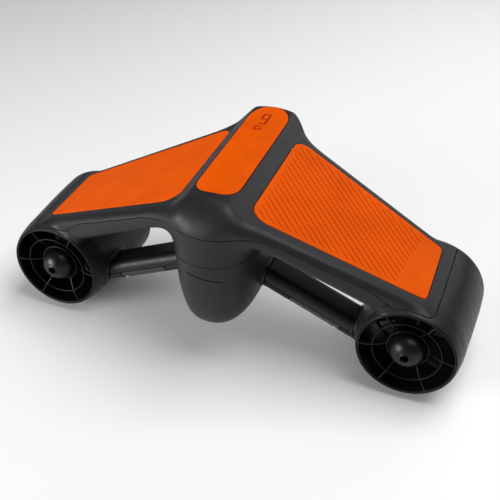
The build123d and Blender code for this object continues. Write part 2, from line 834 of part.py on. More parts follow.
guard_rib = spoke([(48.4, 0.6), (35, 2.6), (27.5, 5.6), (21.0, 10.2),
                   (21.0, 14.0), (27.5, 9.6), (35, 6.8), (48.4, 4.8)], 1.7)
with BuildPart() as duct_guard:
    add(ring(47.7, GUARD_SEAT_R, 0.0, GUARD_DEPTH))
    add(ring(34.0, 35.6, 2.6, 7.0))
    add(ring(HUB_RING_R, HUB_RING_R + 1.8, 9.6, 14.4))
    add(around_axis(guard_rib, 6))
save_pair(duct_guard.part, "duct_guard")


# ------------------------------------------------------------------ motor and propeller
PROP_FRONT = 14.0
PROP_BACK = 43.0
POD_FRONT = 46.0
STATOR = (60.0, 88.0)

guide_vane = spoke([(20.0, 66), (BORE_R - 0.6, 70), (BORE_R - 0.6, 104), (20.0, 99)], 2.2)
with BuildPart() as rear_guard:
    add(ring(18.4, MOTOR_POD_R, POD_FRONT, 100))
    add(ring(8.0, 19.0, POD_FRONT, 50))
    add(ring(8.0, 10.5, POD_FRONT, 58))
    add(ring(34.2, 35.8, 97, 103))
    add(ring(47.2, BORE_R, 68, 106))
    add(around_axis(guide_vane, 6, 30.0))
save_pair(rear_guard.part, "rear_guard")


def tail_profile(radius, length):
    """Half-ellipse cone reaching rearwards from the motor pod's end."""
    return [(radius * sqrt(1 - (k / 6) ** 2), 100 + length * k / 6) for k in range(7)]


with BuildPart() as motor_cap:
    add(spun([(0, 100)] + tail_profile(MOTOR_POD_R, 24.0)))
    add(spun([(0, 99)] + tail_profile(MOTOR_POD_R - 2.6, 21.4)), mode=Mode.SUBTRACT)
    add(ring(8.0, 18.4, 90, 93))
    add(ring(8.0, 10.5, 90, 102))
    add(ring(16.4, 18.4, 90, 103))
save_pair(motor_cap.part, "motor_cap")

with BuildPart() as motor_stator:
    add(ring(9.0, 18.4, *STATOR))
    slot = box_between((DUCT_X + 10.5, RIM_Y + STATOR[0] - 1, DUCT_Z - 1.0),
                       (DUCT_X + 16.0, RIM_Y + STATOR[1] + 1, DUCT_Z + 1.0))
    add(around_axis(slot, 12), mode=Mode.SUBTRACT)
save_pair(motor_stator.part, "motor_stator")

save_pair(ring(SHAFT_R, 8.4, STATOR[0] + 0.5, STATOR[1] - 0.5), "motor_rotor")

with BuildPart() as motor_shaft:
    add(spun([(0, 18), (SHAFT_R, 18), (SHAFT_R, 98), (0, 98)]))
    add(spun([(0, 17), (2.0, 17), (2.0, 26), (0, 26)]), mode=Mode.SUBTRACT)
save_pair(motor_shaft.part, "motor_shaft")

bearing_bore = SHAFT_R + RUNNING_GAP
right_bearings = [ring(bearing_bore, 8.0, 52.5, 57.5), ring(bearing_bore, 8.0, 90.5, 95.5)]
save(Compound(children=right_bearings + [mirrored(b) for b in right_bearings]), "motor_bearings")
right_seal = ring(bearing_bore, 8.0, 47.0, 51.5)
save(Compound(children=[right_seal, mirrored(right_seal)]), "shaft_seals")


def blade_section(radius, pitch, chord, thickness):
    """Aerofoil-like section of a blade at one radius."""
    tilt = radians(pitch)
    middle = (PROP_FRONT + PROP_BACK) / 2
    plane = Plane(origin=(DUCT_X + radius, RIM_Y + middle, DUCT_Z),
                  x_dir=(0, sin(tilt), cos(tilt)), z_dir=(1, 0, 0))
    with BuildSketch(plane) as section:
        Ellipse(chord / 2, thickness / 2)
    return section.sketch


with BuildPart() as blade:
    add([blade_section(16, 51, 25, 4.6), blade_section(32, 37, 31, 3.0),
         blade_section(50, 27, 27, 1.7)])
    loft()
    add(spun([(0, 0), (BLADE_TIP_R, 0), (BLADE_TIP_R, 60), (0, 60)]), mode=Mode.INTERSECT)

with BuildPart() as propeller:
    add(ring(SHAFT_R, SPINNER_R, PROP_FRONT + 3, PROP_BACK))
    add(ring(2.0, SPINNER_R, PROP_FRONT, PROP_FRONT + 4))
    add(around_axis(blade.part, 3, 20.0))
    add(spun([(0, 0), (SHAFT_R, 18), (SHAFT_R, 60), (0, 60)]), mode=Mode.SUBTRACT)
    add(spun([(0, 0), (2.0, 0), (2.0, 60), (0, 60)]), mode=Mode.SUBTRACT)
save_pair(propeller.part, "propeller")

with BuildPart() as propeller_bolt:
    add(spun([(0, 9), (4.0, 9), (4.0, PROP_FRONT), (2.0, PROP_FRONT), (2.0, 26), (0, 26)]))
    socket_plane = Plane(origin=(DUCT_X, RIM_Y + 9, DUCT_Z), x_dir=(-1, 0, 0), z_dir=(0, 1, 0))
    with BuildSketch(socket_plane):
        RegularPolygon(2.4, 6)
    extrude(amount=2.6, mode=Mode.SUBTRACT)
save_pair(propeller_bolt.part, "propeller_bolt")


def dome_profile(radius, length, base):
    """Half-ellipse dome reaching forward from its base."""
    steps = 8
    points = []
    for k in range(steps + 1):
        turn = radians(90 * k / steps)
        points.append((radius * cos(turn), base - length * sin(turn)))
    return points


with BuildPart() as nose_dome:
    add(spun([(0, PROP_FRONT), (SPINNER_R, PROP_FRONT)] + dome_profile(SPINNER_R, 17.5, 10.5)))
    add(spun([(0, PROP_FRONT), (SPINNER_R - 2.2, PROP_FRONT)]
             + dome_profile(SPINNER_R - 2.2, 15.0, 10.5)),
        mode=Mode.SUBTRACT)
    add(spun([(0, -20), (4.3, -20), (4.3, 8), (0, 8)]), mode=Mode.SUBTRACT)
save_pair(nose_dome.part, "nose_dome")


# ------------------------------------------------------------------ foot pads
with BuildPart() as foot_pad:
    add(box_between((DUCT_X - 9, -42, 0), (DUCT_X + 9, 42, 9)))
    fillet(foot_pad.edges().filter_by(Axis.Z), 6)
    add(right_duct, mode=Mode.SUBTRACT)
save_pair(foot_pad.part, "foot_pad")
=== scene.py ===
import json
import math

import bmesh
import bpy
import numpy as np
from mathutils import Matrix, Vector


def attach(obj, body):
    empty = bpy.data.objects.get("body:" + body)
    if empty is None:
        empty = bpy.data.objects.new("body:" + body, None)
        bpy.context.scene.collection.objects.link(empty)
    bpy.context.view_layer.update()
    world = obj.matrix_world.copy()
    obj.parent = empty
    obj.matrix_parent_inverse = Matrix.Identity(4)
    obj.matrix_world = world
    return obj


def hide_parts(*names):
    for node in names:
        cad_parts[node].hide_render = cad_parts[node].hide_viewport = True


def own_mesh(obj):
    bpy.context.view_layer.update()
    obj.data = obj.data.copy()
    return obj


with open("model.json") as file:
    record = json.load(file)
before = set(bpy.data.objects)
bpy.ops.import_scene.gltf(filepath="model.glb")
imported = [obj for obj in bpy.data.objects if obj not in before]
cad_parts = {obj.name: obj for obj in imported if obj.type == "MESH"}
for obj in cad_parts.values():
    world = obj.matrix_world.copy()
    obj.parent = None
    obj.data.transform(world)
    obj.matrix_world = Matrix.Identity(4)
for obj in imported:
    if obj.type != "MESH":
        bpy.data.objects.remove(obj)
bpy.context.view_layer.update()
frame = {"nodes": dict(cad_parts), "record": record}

# Everything below is worked out in millimetres in the row frame and scaled when meshes are made.
MM = 0.001

# ---------------------------------------------------------------- body form
DUCT_X, DUCT_Z, RIM_Y, DUCT_LENGTH = 200.0, 60.0, -67.5, 130.0
HULL_TOP, HULL_BOTTOM, HULL_DEPTH = 176.0, 53.7, 122.4
HULL_HALF_WIDTH, HULL_HALF_LENGTH = 49.6, 90.4
HULL_MIDDLE_Y, HULL_RAKE = -17.8, 21.8
STRIP_HALF, STRIP_SHOULDER = 22.7, 14.9
# Straight lines as a place, the value there and the slope.
SPINE_EDGE = (-52, 206.2, 0.0532)
SPINE_CROWN = (-75.5, 208.9, 0.0445)
WING_UNDERSIDE = (50.0, 163.5, -0.525)
WING_FRONT = (50.0, -93.0, 0.205)
WING_REAR = (70.0, 79.0, -0.2)
WING_ROOT_X, WING_ROOT_Z = 37.6, 196.3
WING_SLOPE = 0.4536
WING_PITCH = 0.0415
WING_TIP_X = 214.0
GRIP_ANGLE = math.radians(23.2)
GRIP_MIDDLE = np.array([100.0, -29.0, 71.5])
GRIP_RUN = np.array([math.cos(GRIP_ANGLE), 0.0, -math.sin(GRIP_ANGLE)])
GRIP_UP = np.array([math.sin(GRIP_ANGLE), 0.0, math.cos(GRIP_ANGLE)])
GRIP_HALF_DEPTH, GRIP_HALF_HEIGHT, GRIP_ROUND, GRIP_REACH = 18.5, 11.25, 9.0, 78
BARREL_S = np.array([-20.0, 0.0, 6.0, 20.0, 40.0, 60.0, 80.0, 100.0, 120.0, 150.0])
BARREL_R = np.array([49.2, 50.6, 52.7, 54.8, 55.7, 56.9, 57.8, 58.5, 58.6, 58.6])
BARREL_ROUND = 10.5
WING_BLEND, BARREL_BLEND, GRIP_BLEND = 34.0, 12.0, 9.0
TOP_ROUND = 9.0


def smin(a, b, k):
    """Smooth minimum with a blend about k wide."""
    h = np.clip(k - np.abs(a - b), 0, None) / k
    return np.minimum(a, b) - h * h * h * k / 6


def smax(a, b, k):
    """Smooth maximum with a blend about k wide."""
    return -smin(-a, -b, k)


def round_max(a, b, r):
    """Intersection of two distances with a round edge of radius r."""
    return np.minimum(np.maximum(a, b), -r) + np.hypot(np.maximum(a + r, 0), np.maximum(b + r, 0))


def round_min(a, b, r):
    """Both inside: a corner of radius r where two positive fields meet."""
    return -round_max(-a, -b, r)


def smooth_step(t):
    """A soft ramp from 0 to 1."""
    t = np.clip(t, 0, 1)
    return t * t * (3 - 2 * t)


def line(x, x0, value, slope):
    """A straight line through value at x0."""
    return value + slope * (x - x0)


def wing_plane(ax, y):
    """Height of the wing's flat top."""
    return WING_ROOT_Z + WING_PITCH * (y - 6) - WING_SLOPE * (ax - WING_ROOT_X)


def top_height(ax, y):
    """Top surface of spine and wings together."""
    edge = line(y, *SPINE_EDGE)
    crown = line(y, *SPINE_CROWN)
    dome = crown - (crown - edge) * np.minimum(ax / STRIP_HALF, 1.3) ** 1.6
    wing = wing_plane(ax, y)
    slope = (edge - wing_plane(WING_ROOT_X, y)) / STRIP_SHOULDER
    strip = edge - slope * (ax - STRIP_HALF)
    return smin(dome, smax(strip, wing, 2.0), 3.0)


def hull_distance(ax, y, z):
    """Rounded column from the pod's tip to the spine."""
    u = np.clip((HULL_TOP - z) / HULL_DEPTH, 0, 1 - 1e-6)
    g = (1 - u**1.2) ** 0.2
    up = np.clip((z - HULL_TOP) / 33.0, 0, 1.3)
    centre_y = HULL_MIDDLE_Y - HULL_RAKE * u
    front = centre_y - HULL_HALF_LENGTH * g + 27.0 * up**1.4
    rear = centre_y + HULL_HALF_LENGTH * g + 36.0 * smooth_step((z - 158) / 42)
    power = 2.43 + 1.3 * np.minimum(up, 1)
    middle = (front + rear) / 2
    a = HULL_HALF_WIDTH * g
    b = (rear - front) / 2
    p = (ax / a) ** power
    q = (np.abs(y - middle) / b) ** power
    r = (p + q) ** (1 / power)
    across = p / np.maximum(ax, 1e-6)
    along = q / np.maximum(np.abs(y - middle), 1e-6)
    slope = r ** (1 - power) * np.hypot(across, along)
    column = (r - 1) / np.maximum(slope, 1e-4)
    return np.maximum(column, HULL_BOTTOM - z)


def wing_distance(ax, y, z):
    """Wing slab, its top left open for the common top surface."""
    reach = smax(ax, 30.0, 30.0)
    below = (line(reach, *WING_UNDERSIDE) - z) * 0.877
    ends = np.maximum(line(reach, *WING_FRONT) - y, y - line(reach, *WING_REAR)) * 0.98
    return np.maximum(round_max(below, ends, 11.0), ax - WING_TIP_X)


def barrel_parts(ax, y, z):
    """Radius from the duct's axis, distance behind the rim, and outer radius there."""
    rho = np.hypot(ax - DUCT_X, z - DUCT_Z)
    s = y - RIM_Y
    return rho, s, np.interp(s, BARREL_S, BARREL_R)


def barrel_distance(ax, y, z):
    """The duct housing as a solid barrel."""
    rho, s, radius = barrel_parts(ax, y, z)
    return np.maximum(round_max(rho - radius, s - DUCT_LENGTH, BARREL_ROUND), -s)


def grip_local(ax, y, z):
    """Position along the grip, behind its middle and above it."""
    along = (ax - GRIP_MIDDLE[0]) * GRIP_RUN[0] + (z - GRIP_MIDDLE[2]) * GRIP_RUN[2]
    height = (ax - GRIP_MIDDLE[0]) * GRIP_UP[0] + (z - GRIP_MIDDLE[2]) * GRIP_UP[2]
    return along, y - GRIP_MIDDLE[1], height


def grip_distance(ax, y, z):
    """The grip as a rounded bar between hull and duct."""
    along, depth, height = grip_local(ax, y, z)
    bar = round_max(np.abs(depth) - GRIP_HALF_DEPTH, np.abs(height) - GRIP_HALF_HEIGHT, GRIP_ROUND)
    return np.maximum(bar, np.abs(along) - GRIP_REACH)


def body_distance(p):
    """The whole blended body, negative inside."""
    ax, y, z = np.abs(p[..., 0]), p[..., 1], p[..., 2]
    hull = hull_distance(ax, y, z)
    wing = wing_distance(ax, y, z)
    barrel = barrel_distance(ax, y, z)
    grip = grip_distance(ax, y, z)
    core = smin(hull, wing, WING_BLEND)
    top = (z - top_height(ax, y)) * 0.91
    nose = np.exp(-((ax / 34.0) ** 2)) * smooth_step((-20.0 - y) / 45.0)
    core = round_max(core, top, TOP_ROUND + TOP_ROUND * nose)
    core = smax(smin(core, barrel, BARREL_BLEND), top, 3.0)
    return smin(core, grip, GRIP_BLEND)


def gradient(f, p, h=0.05):
    """Slope of a field by central differences."""
    parts = []
    for k in range(3):
        step = np.zeros(3)
        step[k] = h
        parts.append((f(p + step) - f(p - step)) / (2 * h))
    return np.stack(parts, -1)


def unit(v):
    """Vectors scaled to length one."""
    return v / np.maximum(np.linalg.norm(v, axis=-1, keepdims=True), 1e-12)


# ---------------------------------------------------------------- skin from the body form
CELL = 1.9
SLAB = 20


def skin_grid():
    """Body distance on a regular grid, mirrored about the centre plane."""
    xs = np.arange(0, 262, CELL)
    ys = np.arange(-118, 122, CELL)
    zs = np.arange(-4, 226, CELL)
    points = np.stack(np.meshgrid(xs, ys, zs, indexing="ij"), -1)
    values = np.concatenate([body_distance(points[k : k + SLAB]) for k in range(0, len(xs), SLAB)])
    values = np.concatenate([values[:0:-1], values])
    return np.concatenate([-xs[:0:-1], xs]), ys, zs, values


def surface_net(xs, ys, zs, values):
    """Quads wrapping the zero level of a grid: one vertex per crossed cell."""
    inside = values < 0
    corner = [(i, j, k) for i in (0, 1) for j in (0, 1) for k in (0, 1)]
    shape = tuple(n - 1 for n in values.shape)

    def shifted(a, c):
        return a[c[0] : c[0] + shape[0], c[1] : c[1] + shape[1], c[2] : c[2] + shape[2]]

    count = sum(shifted(inside, c).astype(np.int8) for c in corner)
    cells = np.argwhere((count > 0) & (count < 8))
    index = -np.ones(shape, np.int64)
    index[tuple(cells.T)] = np.arange(len(cells))
    total = np.zeros((len(cells), 3))
    weight = np.zeros(len(cells))
    for a in corner:
        for axis in range(3):
            if a[axis]:
                continue
            b = list(a)
            b[axis] = 1
            va = values[tuple((cells + a).T)]
            vb = values[tuple((cells + b).T)]
            crossed = (va < 0) != (vb < 0)
            t = np.where(crossed, va / np.where(crossed, va - vb, 1), 0)
            spot = np.array(a, float) + t[:, None] * (np.array(b) - np.array(a))
            total += spot * crossed[:, None]
            weight += crossed
    local = total / weight[:, None]
    origin = np.array([xs[0], ys[0], zs[0]])
    vertices = origin + (cells + local) * CELL
    quads = []
    around = {0: ((0, 0, 0), (0, -1, 0), (0, -1, -1), (0, 0, -1)),
              1: ((0, 0, 0), (0, 0, -1), (-1, 0, -1), (-1, 0, 0)),
              2: ((0, 0, 0), (-1, 0, 0), (-1, -1, 0), (0, -1, 0))}
    for axis in range(3):
        step = [0, 0, 0]
        step[axis] = 1
        low = inside[tuple(slice(0, n - d) for n, d in zip(values.shape, step))]
        high = inside[step[0] :, step[1] :, step[2] :]
        edges = np.argwhere(low != high)
        start_inside = low[tuple(edges.T)]
        last = np.array(shape) - 1
        ring = np.stack([index[tuple(np.clip(edges + o, 0, last).T)] for o in around[axis]], 1)
        ring = np.where(start_inside[:, None], ring, ring[:, ::-1])
        quads.append(ring)
    quads = np.concatenate(quads)
    return vertices, quads[(quads >= 0).all(1)]


def relaxed(vertices, quads, f, rounds=3):
    """Evens out a quad skin while holding it on the surface."""
    pairs = np.concatenate([quads[:, [k, (k + 1) % 4]] for k in range(4)])
    for _ in range(rounds):
        total = np.zeros_like(vertices)
        count = np.zeros(len(vertices))
        np.add.at(total, pairs[:, 0], vertices[pairs[:, 1]])
        np.add.at(count, pairs[:, 0], 1)
        target = total / np.maximum(count, 1)[:, None]
        n = unit(gradient(f, vertices))
        move = target - vertices
        vertices = vertices + 0.6 * (move - n * (move * n).sum(-1, keepdims=True))
        vertices = on_surface(vertices, f, 1)
    return on_surface(vertices, f, 2)


def on_surface(vertices, f, rounds):
    """Moves points along the gradient of f onto its zero level."""
    for _ in range(rounds):
        g = gradient(f, vertices)
        vertices = vertices - (f(vertices) / np.maximum((g * g).sum(-1), 0.05))[:, None] * g
    return vertices


# ---------------------------------------------------------------- cutting the skin into mouldings
def clipped(vertices, faces, values):
    """The part of a polygon skin where values are positive."""
    sign = values > 0
    new_points = []
    lookup = {}
    kept = []

    def crossing(i, j):
        key = (i, j) if i < j else (j, i)
        if key not in lookup:
            a, b = key
            t = values[a] / (values[a] - values[b])
            t = min(max(t, 1e-4), 1 - 1e-4)
            lookup[key] = len(vertices) + len(new_points)
            new_points.append(vertices[a] + t * (vertices[b] - vertices[a]))
        return lookup[key]

    for face in faces:
        flags = [sign[v] for v in face]
        if all(flags):
            kept.append(tuple(face))
            continue
        if not any(flags):
            continue
        out = []
        n = len(face)
        for k in range(n):
            i, j = face[k], face[(k + 1) % n]
            if sign[i]:
                out.append(i)
            if sign[i] != sign[j]:
                out.append(crossing(i, j))
        if len(out) >= 3:
            kept.append(tuple(out))
    points = np.concatenate([vertices, np.array(new_points).reshape(-1, 3)])
    used = np.unique(np.concatenate([np.array(face) for face in kept]))
    remap = -np.ones(len(points), np.int64)
    remap[used] = np.arange(len(used))
    faces = [tuple(int(remap[v]) for v in face) for face in kept]
    return points[used], faces


def tidied(vertices, faces, reach=0.35):
    """Merges vertices closer than reach along the skin's rim, so no slivers are left there."""
    mesh = bmesh.new()
    verts = [mesh.verts.new(v) for v in vertices]
    for face in faces:
        try:
            mesh.faces.new([verts[v] for v in face])
        except ValueError:
            pass
    mesh.verts.index_update()
    rim = [v for v in mesh.verts if v.is_boundary]
    near = set(rim)
    for v in rim:
        near.update(e.other_vert(v) for e in v.link_edges)
    near = sorted(near, key=lambda v: v.index)  # a set's own order would differ from run to run
    bmesh.ops.remove_doubles(mesh, verts=near, dist=reach)
    loose = [v for v in mesh.verts if not v.link_faces]
    bmesh.ops.delete(mesh, geom=loose, context="VERTS")
    mesh.verts.index_update()
    points = np.array([v.co for v in mesh.verts])
    result = [tuple(v.index for v in face.verts) for face in mesh.faces]
    mesh.free()
    return points, result


def rim_edges(faces):
    """Directed edges that only one face uses."""
    seen = {}
    for face in faces:
        n = len(face)
        for k in range(n):
            seen[(face[k], face[(k + 1) % n])] = True
    return [e for e in seen if (e[1], e[0]) not in seen]


EDGE_ANGLES = (30, 60, 90)


def moulding(skin, cut, surface, gap=0.2, edge=0.6, wall=2.4):
    """A closed shell: the skin where cut is positive, with rounded edges and an inner face.

    Returns points, faces and a shading normal for every point."""
    vertices, faces = skin
    vertices, faces = clipped(vertices, faces, cut(vertices) - (gap + edge))
    vertices, faces = tidied(vertices, faces)
    rim = rim_edges(faces)
    normals = unit(gradient(surface, vertices))
    count = len(vertices)
    ids = sorted({v for e in rim for v in e})
    place = {v: k for k, v in enumerate(ids)}
    base = vertices[ids]
    n = normals[ids]
    t = -gradient(cut, base)
    t = unit(t - n * (t * n).sum(-1, keepdims=True))
    points = [vertices, vertices - normals * wall]
    shading = [normals, -normals]
    for a in map(math.radians, EDGE_ANGLES):
        points.append(base + t * edge * math.sin(a) - n * edge * (1 - math.cos(a)))
        shading.append(n * math.cos(a) + t * math.sin(a))
    points.append(base + t * edge - n * wall)
    shading.append(t)
    result = [tuple(face) for face in faces]
    result += [tuple(count + v for v in reversed(face)) for face in faces]
    rings = len(EDGE_ANGLES) + 1

    def path(v):
        """One column of vertices from the outer face round the edge to the inner face."""
        return [v] + [2 * count + k * len(ids) + place[v] for k in range(rings)] + [count + v]

    for a, b in rim:
        path_a, path_b = path(a), path(b)
        for k in range(rings + 1):
            result.append((path_b[k], path_a[k], path_a[k + 1], path_b[k + 1]))
    return np.concatenate(points), result, np.concatenate(shading)


def mirrored(shape):
    """The same points and faces on the other side of the centre plane."""
    points, faces, normals = shape
    flip = np.array([-1.0, 1.0, 1.0])
    turned_normals = None if normals is None else normals * flip
    return points * flip, [tuple(reversed(face)) for face in faces], turned_normals


# ---------------------------------------------------------------- materials
def link(tree, source, target):
    """Joins an output to an input."""
    tree.links.new(source, target)


def noise(tree, coordinates, scale, detail=3.0):
    """A noise texture's value."""
    node = tree.nodes.new("ShaderNodeTexNoise")
    node.inputs["Scale"].default_value = scale
    node.inputs["Detail"].default_value = detail
    link(tree, coordinates, node.inputs["Vector"])
    return node.outputs["Fac"]


def mapped(tree, value, low, high):
    """Stretches the middle of a noise value over a range."""
    node = tree.nodes.new("ShaderNodeMapRange")
    node.inputs["From Min"].default_value = 0.3
    node.inputs["From Max"].default_value = 0.7
    node.inputs["To Min"].default_value = low
    node.inputs["To Max"].default_value = high
    link(tree, value, node.inputs["Value"])
    return node.outputs["Result"]


def tinted(colour, factor):
    """A lighter or darker version of a colour, with alpha."""
    return tuple(min(1.0, c * factor) for c in colour) + (1.0,)


MOTTLE_SCALE, SHEEN_SCALE = 28.0, 160.0
# Pointiness range over which convex edges turn lighter, for rubbed wear and a painted edge
# highlight.
EDGE_WEAR_AND_HIGHLIGHT_RANGE = (0.53, 0.66)


def finish_material(name, colour, roughness, grain=1500.0, depth=0.06, metallic=0.0,
                    edge_wear_and_highlight=0.25, specular=0.4, stretch=(1, 1, 1)):
    """A procedural finish: mould grain as bump, uneven sheen, faint mottling, and convex edges
    lightened both as rubbed wear and as a painted edge highlight.
    """
    material = bpy.data.materials.new(name)
    material.use_nodes = True
    tree = material.node_tree
    shader = tree.nodes["Principled BSDF"]
    place = tree.nodes.new("ShaderNodeTexCoord").outputs["Object"]
    scaled = tree.nodes.new("ShaderNodeMapping")
    scaled.inputs["Scale"].default_value = stretch
    link(tree, place, scaled.inputs["Vector"])
    place = scaled.outputs["Vector"]
    mix = tree.nodes.new("ShaderNodeMix")
    mix.data_type = "RGBA"
    mix.inputs["A"].default_value = tinted(colour, 0.93)
    mix.inputs["B"].default_value = tinted(colour, 1.07)
    link(tree, mapped(tree, noise(tree, place, MOTTLE_SCALE), 0.0, 1.0), mix.inputs["Factor"])
    # Convex edges turn lighter by Pointiness: partly rubbed wear, partly a painted highlight along
    # the edges.
    rubbed_and_highlit = tree.nodes.new("ShaderNodeMix")
    rubbed_and_highlit.data_type = "RGBA"
    rubbed_and_highlit.inputs["B"].default_value = tinted([c + 0.02 for c in colour], 1.5)
    link(tree, mix.outputs["Result"], rubbed_and_highlit.inputs["A"])
    ramp = tree.nodes.new("ShaderNodeMapRange")
    ramp.inputs["From Min"].default_value, ramp.inputs["From Max"].default_value = EDGE_WEAR_AND_HIGHLIGHT_RANGE
    ramp.inputs["To Max"].default_value = edge_wear_and_highlight
    link(tree, tree.nodes.new("ShaderNodeNewGeometry").outputs["Pointiness"], ramp.inputs["Value"])
    link(tree, ramp.outputs["Result"], rubbed_and_highlit.inputs["Factor"])
    link(tree, rubbed_and_highlit.outputs["Result"], shader.inputs["Base Color"])
    sheen = mapped(tree, noise(tree, place, SHEEN_SCALE), roughness - 0.05, roughness + 0.05)
    link(tree, sheen, shader.inputs["Roughness"])
    shader.inputs["Metallic"].default_value = metallic
    shader.inputs["Specular IOR Level"].default_value = specular
    bump = tree.nodes.new("ShaderNodeBump")
    bump.inputs["Strength"].default_value = 1.0
    bump.inputs["Distance"].default_value = depth * MM
    link(tree, noise(tree, place, grain, 2.0), bump.inputs["Height"])
    link(tree, bump.outputs["Normal"], shader.inputs["Normal"])
    return material


FINISHES = {
    "shell": dict(colour=(0.0135, 0.013, 0.0155), roughness=0.42, depth=0.03, edge_wear_and_highlight=0.1,
                  specular=0.22),
    "orange": dict(colour=(0.70, 0.085, 0.0), roughness=0.5, depth=0.008, edge_wear_and_highlight=0.0,
                   specular=0.03),
    # On the guard the lighter edges are mostly a painted highlight along its thin rings and spokes.
    "guard_black": dict(colour=(0.003, 0.003, 0.0034), roughness=0.32, depth=0.02, edge_wear_and_highlight=0.4,
                        specular=0.2),
    "grip_black": dict(colour=(0.006, 0.006, 0.007), roughness=0.45, grain=900.0, depth=0.06,
                       specular=0.3),
    "spinner": dict(colour=(0.0035, 0.0035, 0.004), roughness=0.33, depth=0.008,
                    specular=0.25),
    "trigger_grey": dict(colour=(0.022, 0.022, 0.025), roughness=0.45, depth=0.05),
    "rubber": dict(colour=(0.014, 0.014, 0.015), roughness=0.75, grain=700.0, depth=0.1),
    "steel": dict(colour=(0.52, 0.52, 0.53), roughness=0.3, depth=0.01, metallic=1.0,
                  stretch=(1, 12, 1)),
    "stator_iron": dict(colour=(0.16, 0.155, 0.15), roughness=0.5, metallic=0.8,
                        stretch=(1, 20, 1)),
    "cell_wrap": dict(colour=(0.03, 0.16, 0.34), roughness=0.35, depth=0.01),
    "brass": dict(colour=(0.62, 0.40, 0.13), roughness=0.32, depth=0.01, metallic=1.0),
    "board": dict(colour=(0.012, 0.10, 0.035), roughness=0.4, grain=2500.0, depth=0.02),
    "digit_red": dict(colour=(0.20, 0.006, 0.002), roughness=0.35, depth=0.01, edge_wear_and_highlight=0.0,
                      specular=0.1),
    "inner_plastic": dict(colour=(0.06, 0.06, 0.065), roughness=0.55, depth=0.05),
}
MATERIALS = {name: finish_material(name, **finish) for name, finish in FINISHES.items()}

for part in frame["record"]["subparts"]:
    node = frame["nodes"][part["node"]]
    if not node.data.materials:
        node.data.materials.append(None)
    for holder in node.material_slots:
        holder.material = MATERIALS[part["material_slot"]]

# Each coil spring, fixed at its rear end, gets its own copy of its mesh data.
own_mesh(frame["nodes"]["latch_spring"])
for side in ("left", "right"):
    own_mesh(frame["nodes"][f"{side}_trigger_spring"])


def mesh_object(name, shape, slot, body="body", angle=35):
    """A mesh object from millimetre points, faces and shading normals."""
    points, faces, normals = shape
    data = bpy.data.meshes.new(name)
    data.from_pydata((np.asarray(points) * MM).tolist(), [], [list(map(int, f)) for f in faces])
    data.update()
    for polygon in data.polygons:
        polygon.use_smooth = True
    if normals is None:
        data.set_sharp_from_angle(angle=math.radians(angle))
    else:
        data.normals_split_custom_set_from_vertices(np.asarray(normals).tolist())
    obj = bpy.data.objects.new(name, data)
    bpy.context.scene.collection.objects.link(obj)
    data.materials.append(MATERIALS[slot])
    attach(obj, body)
    return obj


def pair(name, right_shape, slot, body="body", **options):
    """The right-hand piece and its mirror image, riding on the body or on each side's own body."""
    made = []
    for side, shape in (("right", right_shape), ("left", mirrored(right_shape))):
        where = f"{side}_{body}" if body != "body" else body
        made.append(mesh_object(f"{side}_{name}", shape, slot, where, **options))
    return made


# ---------------------------------------------------------------- outlines of the orange inlays
def rounded_outline(corners, radii, steps=7):
    """A closed polygon with each corner replaced by an arc."""
    points = []
    corners = np.array(corners, float)
    for k, radius in enumerate(radii):
        here = corners[k]
        back = unit(corners[k - 1] - here)
        ahead = unit(corners[(k + 1) % len(corners)] - here)
        half = math.acos(float(back @ ahead)) / 2
        middle = here + unit(back + ahead) * radius / math.sin(half)
        start = here + back * radius / math.tan(half) - middle
        end = here + ahead * radius / math.tan(half) - middle
        for j in range(steps + 1):
            t = j / steps
            before = math.sin((1 - t) * (math.pi / 2 - half) + 1e-9)
            after = math.sin(t * (math.pi / 2 - half) + 1e-9)
            points.append(middle + unit(start * before + end * after) * radius)
    return np.array(points)


STRIP_FRONT, STRIP_FRONT_DEPTH, STRIP_FRONT_POWER = -52, 24.0, 2.4
STRIP_REAR, STRIP_REAR_DEPTH = 77, 27.0


def centre_outline(steps=14):
    """The centre strip: straight sides with a blunt front and a round rear."""
    half = []
    for k in range(steps + 1):
        t = math.sin(math.pi / 2 * (1 - k / steps))
        share = (1 - t**STRIP_FRONT_POWER) ** (1 / STRIP_FRONT_POWER)
        half.append((STRIP_HALF * share, STRIP_FRONT - STRIP_FRONT_DEPTH * t))
    for k in range(steps + 1):
        t = math.sin(math.pi / 2 * k / steps)
        half.append((STRIP_HALF * math.sqrt(max(1 - t**2, 0)), STRIP_REAR + STRIP_REAR_DEPTH * t))
    return np.array(half + [(-x, y) for x, y in half[-2:0:-1]])


WING_OUTLINE = rounded_outline([(38.0, -77.6), (209.6, -46.0), (209.6, 39.8), (38.0, 73.0)],
                               [15.0, 5.5, 6.5, 12.0])
CENTRE_OUTLINE = centre_outline()


def inside_distance(x, y, outline):
    """Distance in from a closed outline, negative outside it."""
    nearest = np.full(np.shape(x), 1e9)
    odd = np.zeros(np.shape(x), bool)
    for (x0, y0), (x1, y1) in zip(outline, np.roll(outline, -1, 0)):
        dx, dy = x1 - x0, y1 - y0
        t = np.clip(((x - x0) * dx + (y - y0) * dy) / (dx * dx + dy * dy + 1e-12), 0, 1)
        nearest = np.minimum(nearest, (x - x0 - t * dx) ** 2 + (y - y0 - t * dy) ** 2)
        run = dx / dy if abs(dy) > 1e-9 else 0.0
        odd ^= ((y0 <= y) != (y1 <= y)) & (x < x0 + (y - y0) * run)
    return np.where(odd, 1.0, -1.0) * np.sqrt(nearest)


def centre_inside(p):
    """Distance inside the centre strip's outline, in plan."""
    return inside_distance(p[..., 0], p[..., 1], CENTRE_OUTLINE)


def wing_inside(p):
    """Distance inside the wing panel's outline, in plan and on either side."""
    return inside_distance(np.abs(p[..., 0]), p[..., 1], WING_OUTLINE)


# ---------------------------------------------------------------- parting lines
# Every region and cut below is positive where its piece is, and zero on the parting line.
SEAM_X = [0, 19, 49, 59, 71, 94, 116, 134, 154, 164, 174, 181, 192, 212]
SEAM_Z = [175.6, 176.2, 176.7, 174.0, 170.5, 159.5, 149.7, 141.1, 132.7, 126.4, 118.4, 112.6,
          98.0, 60.0]
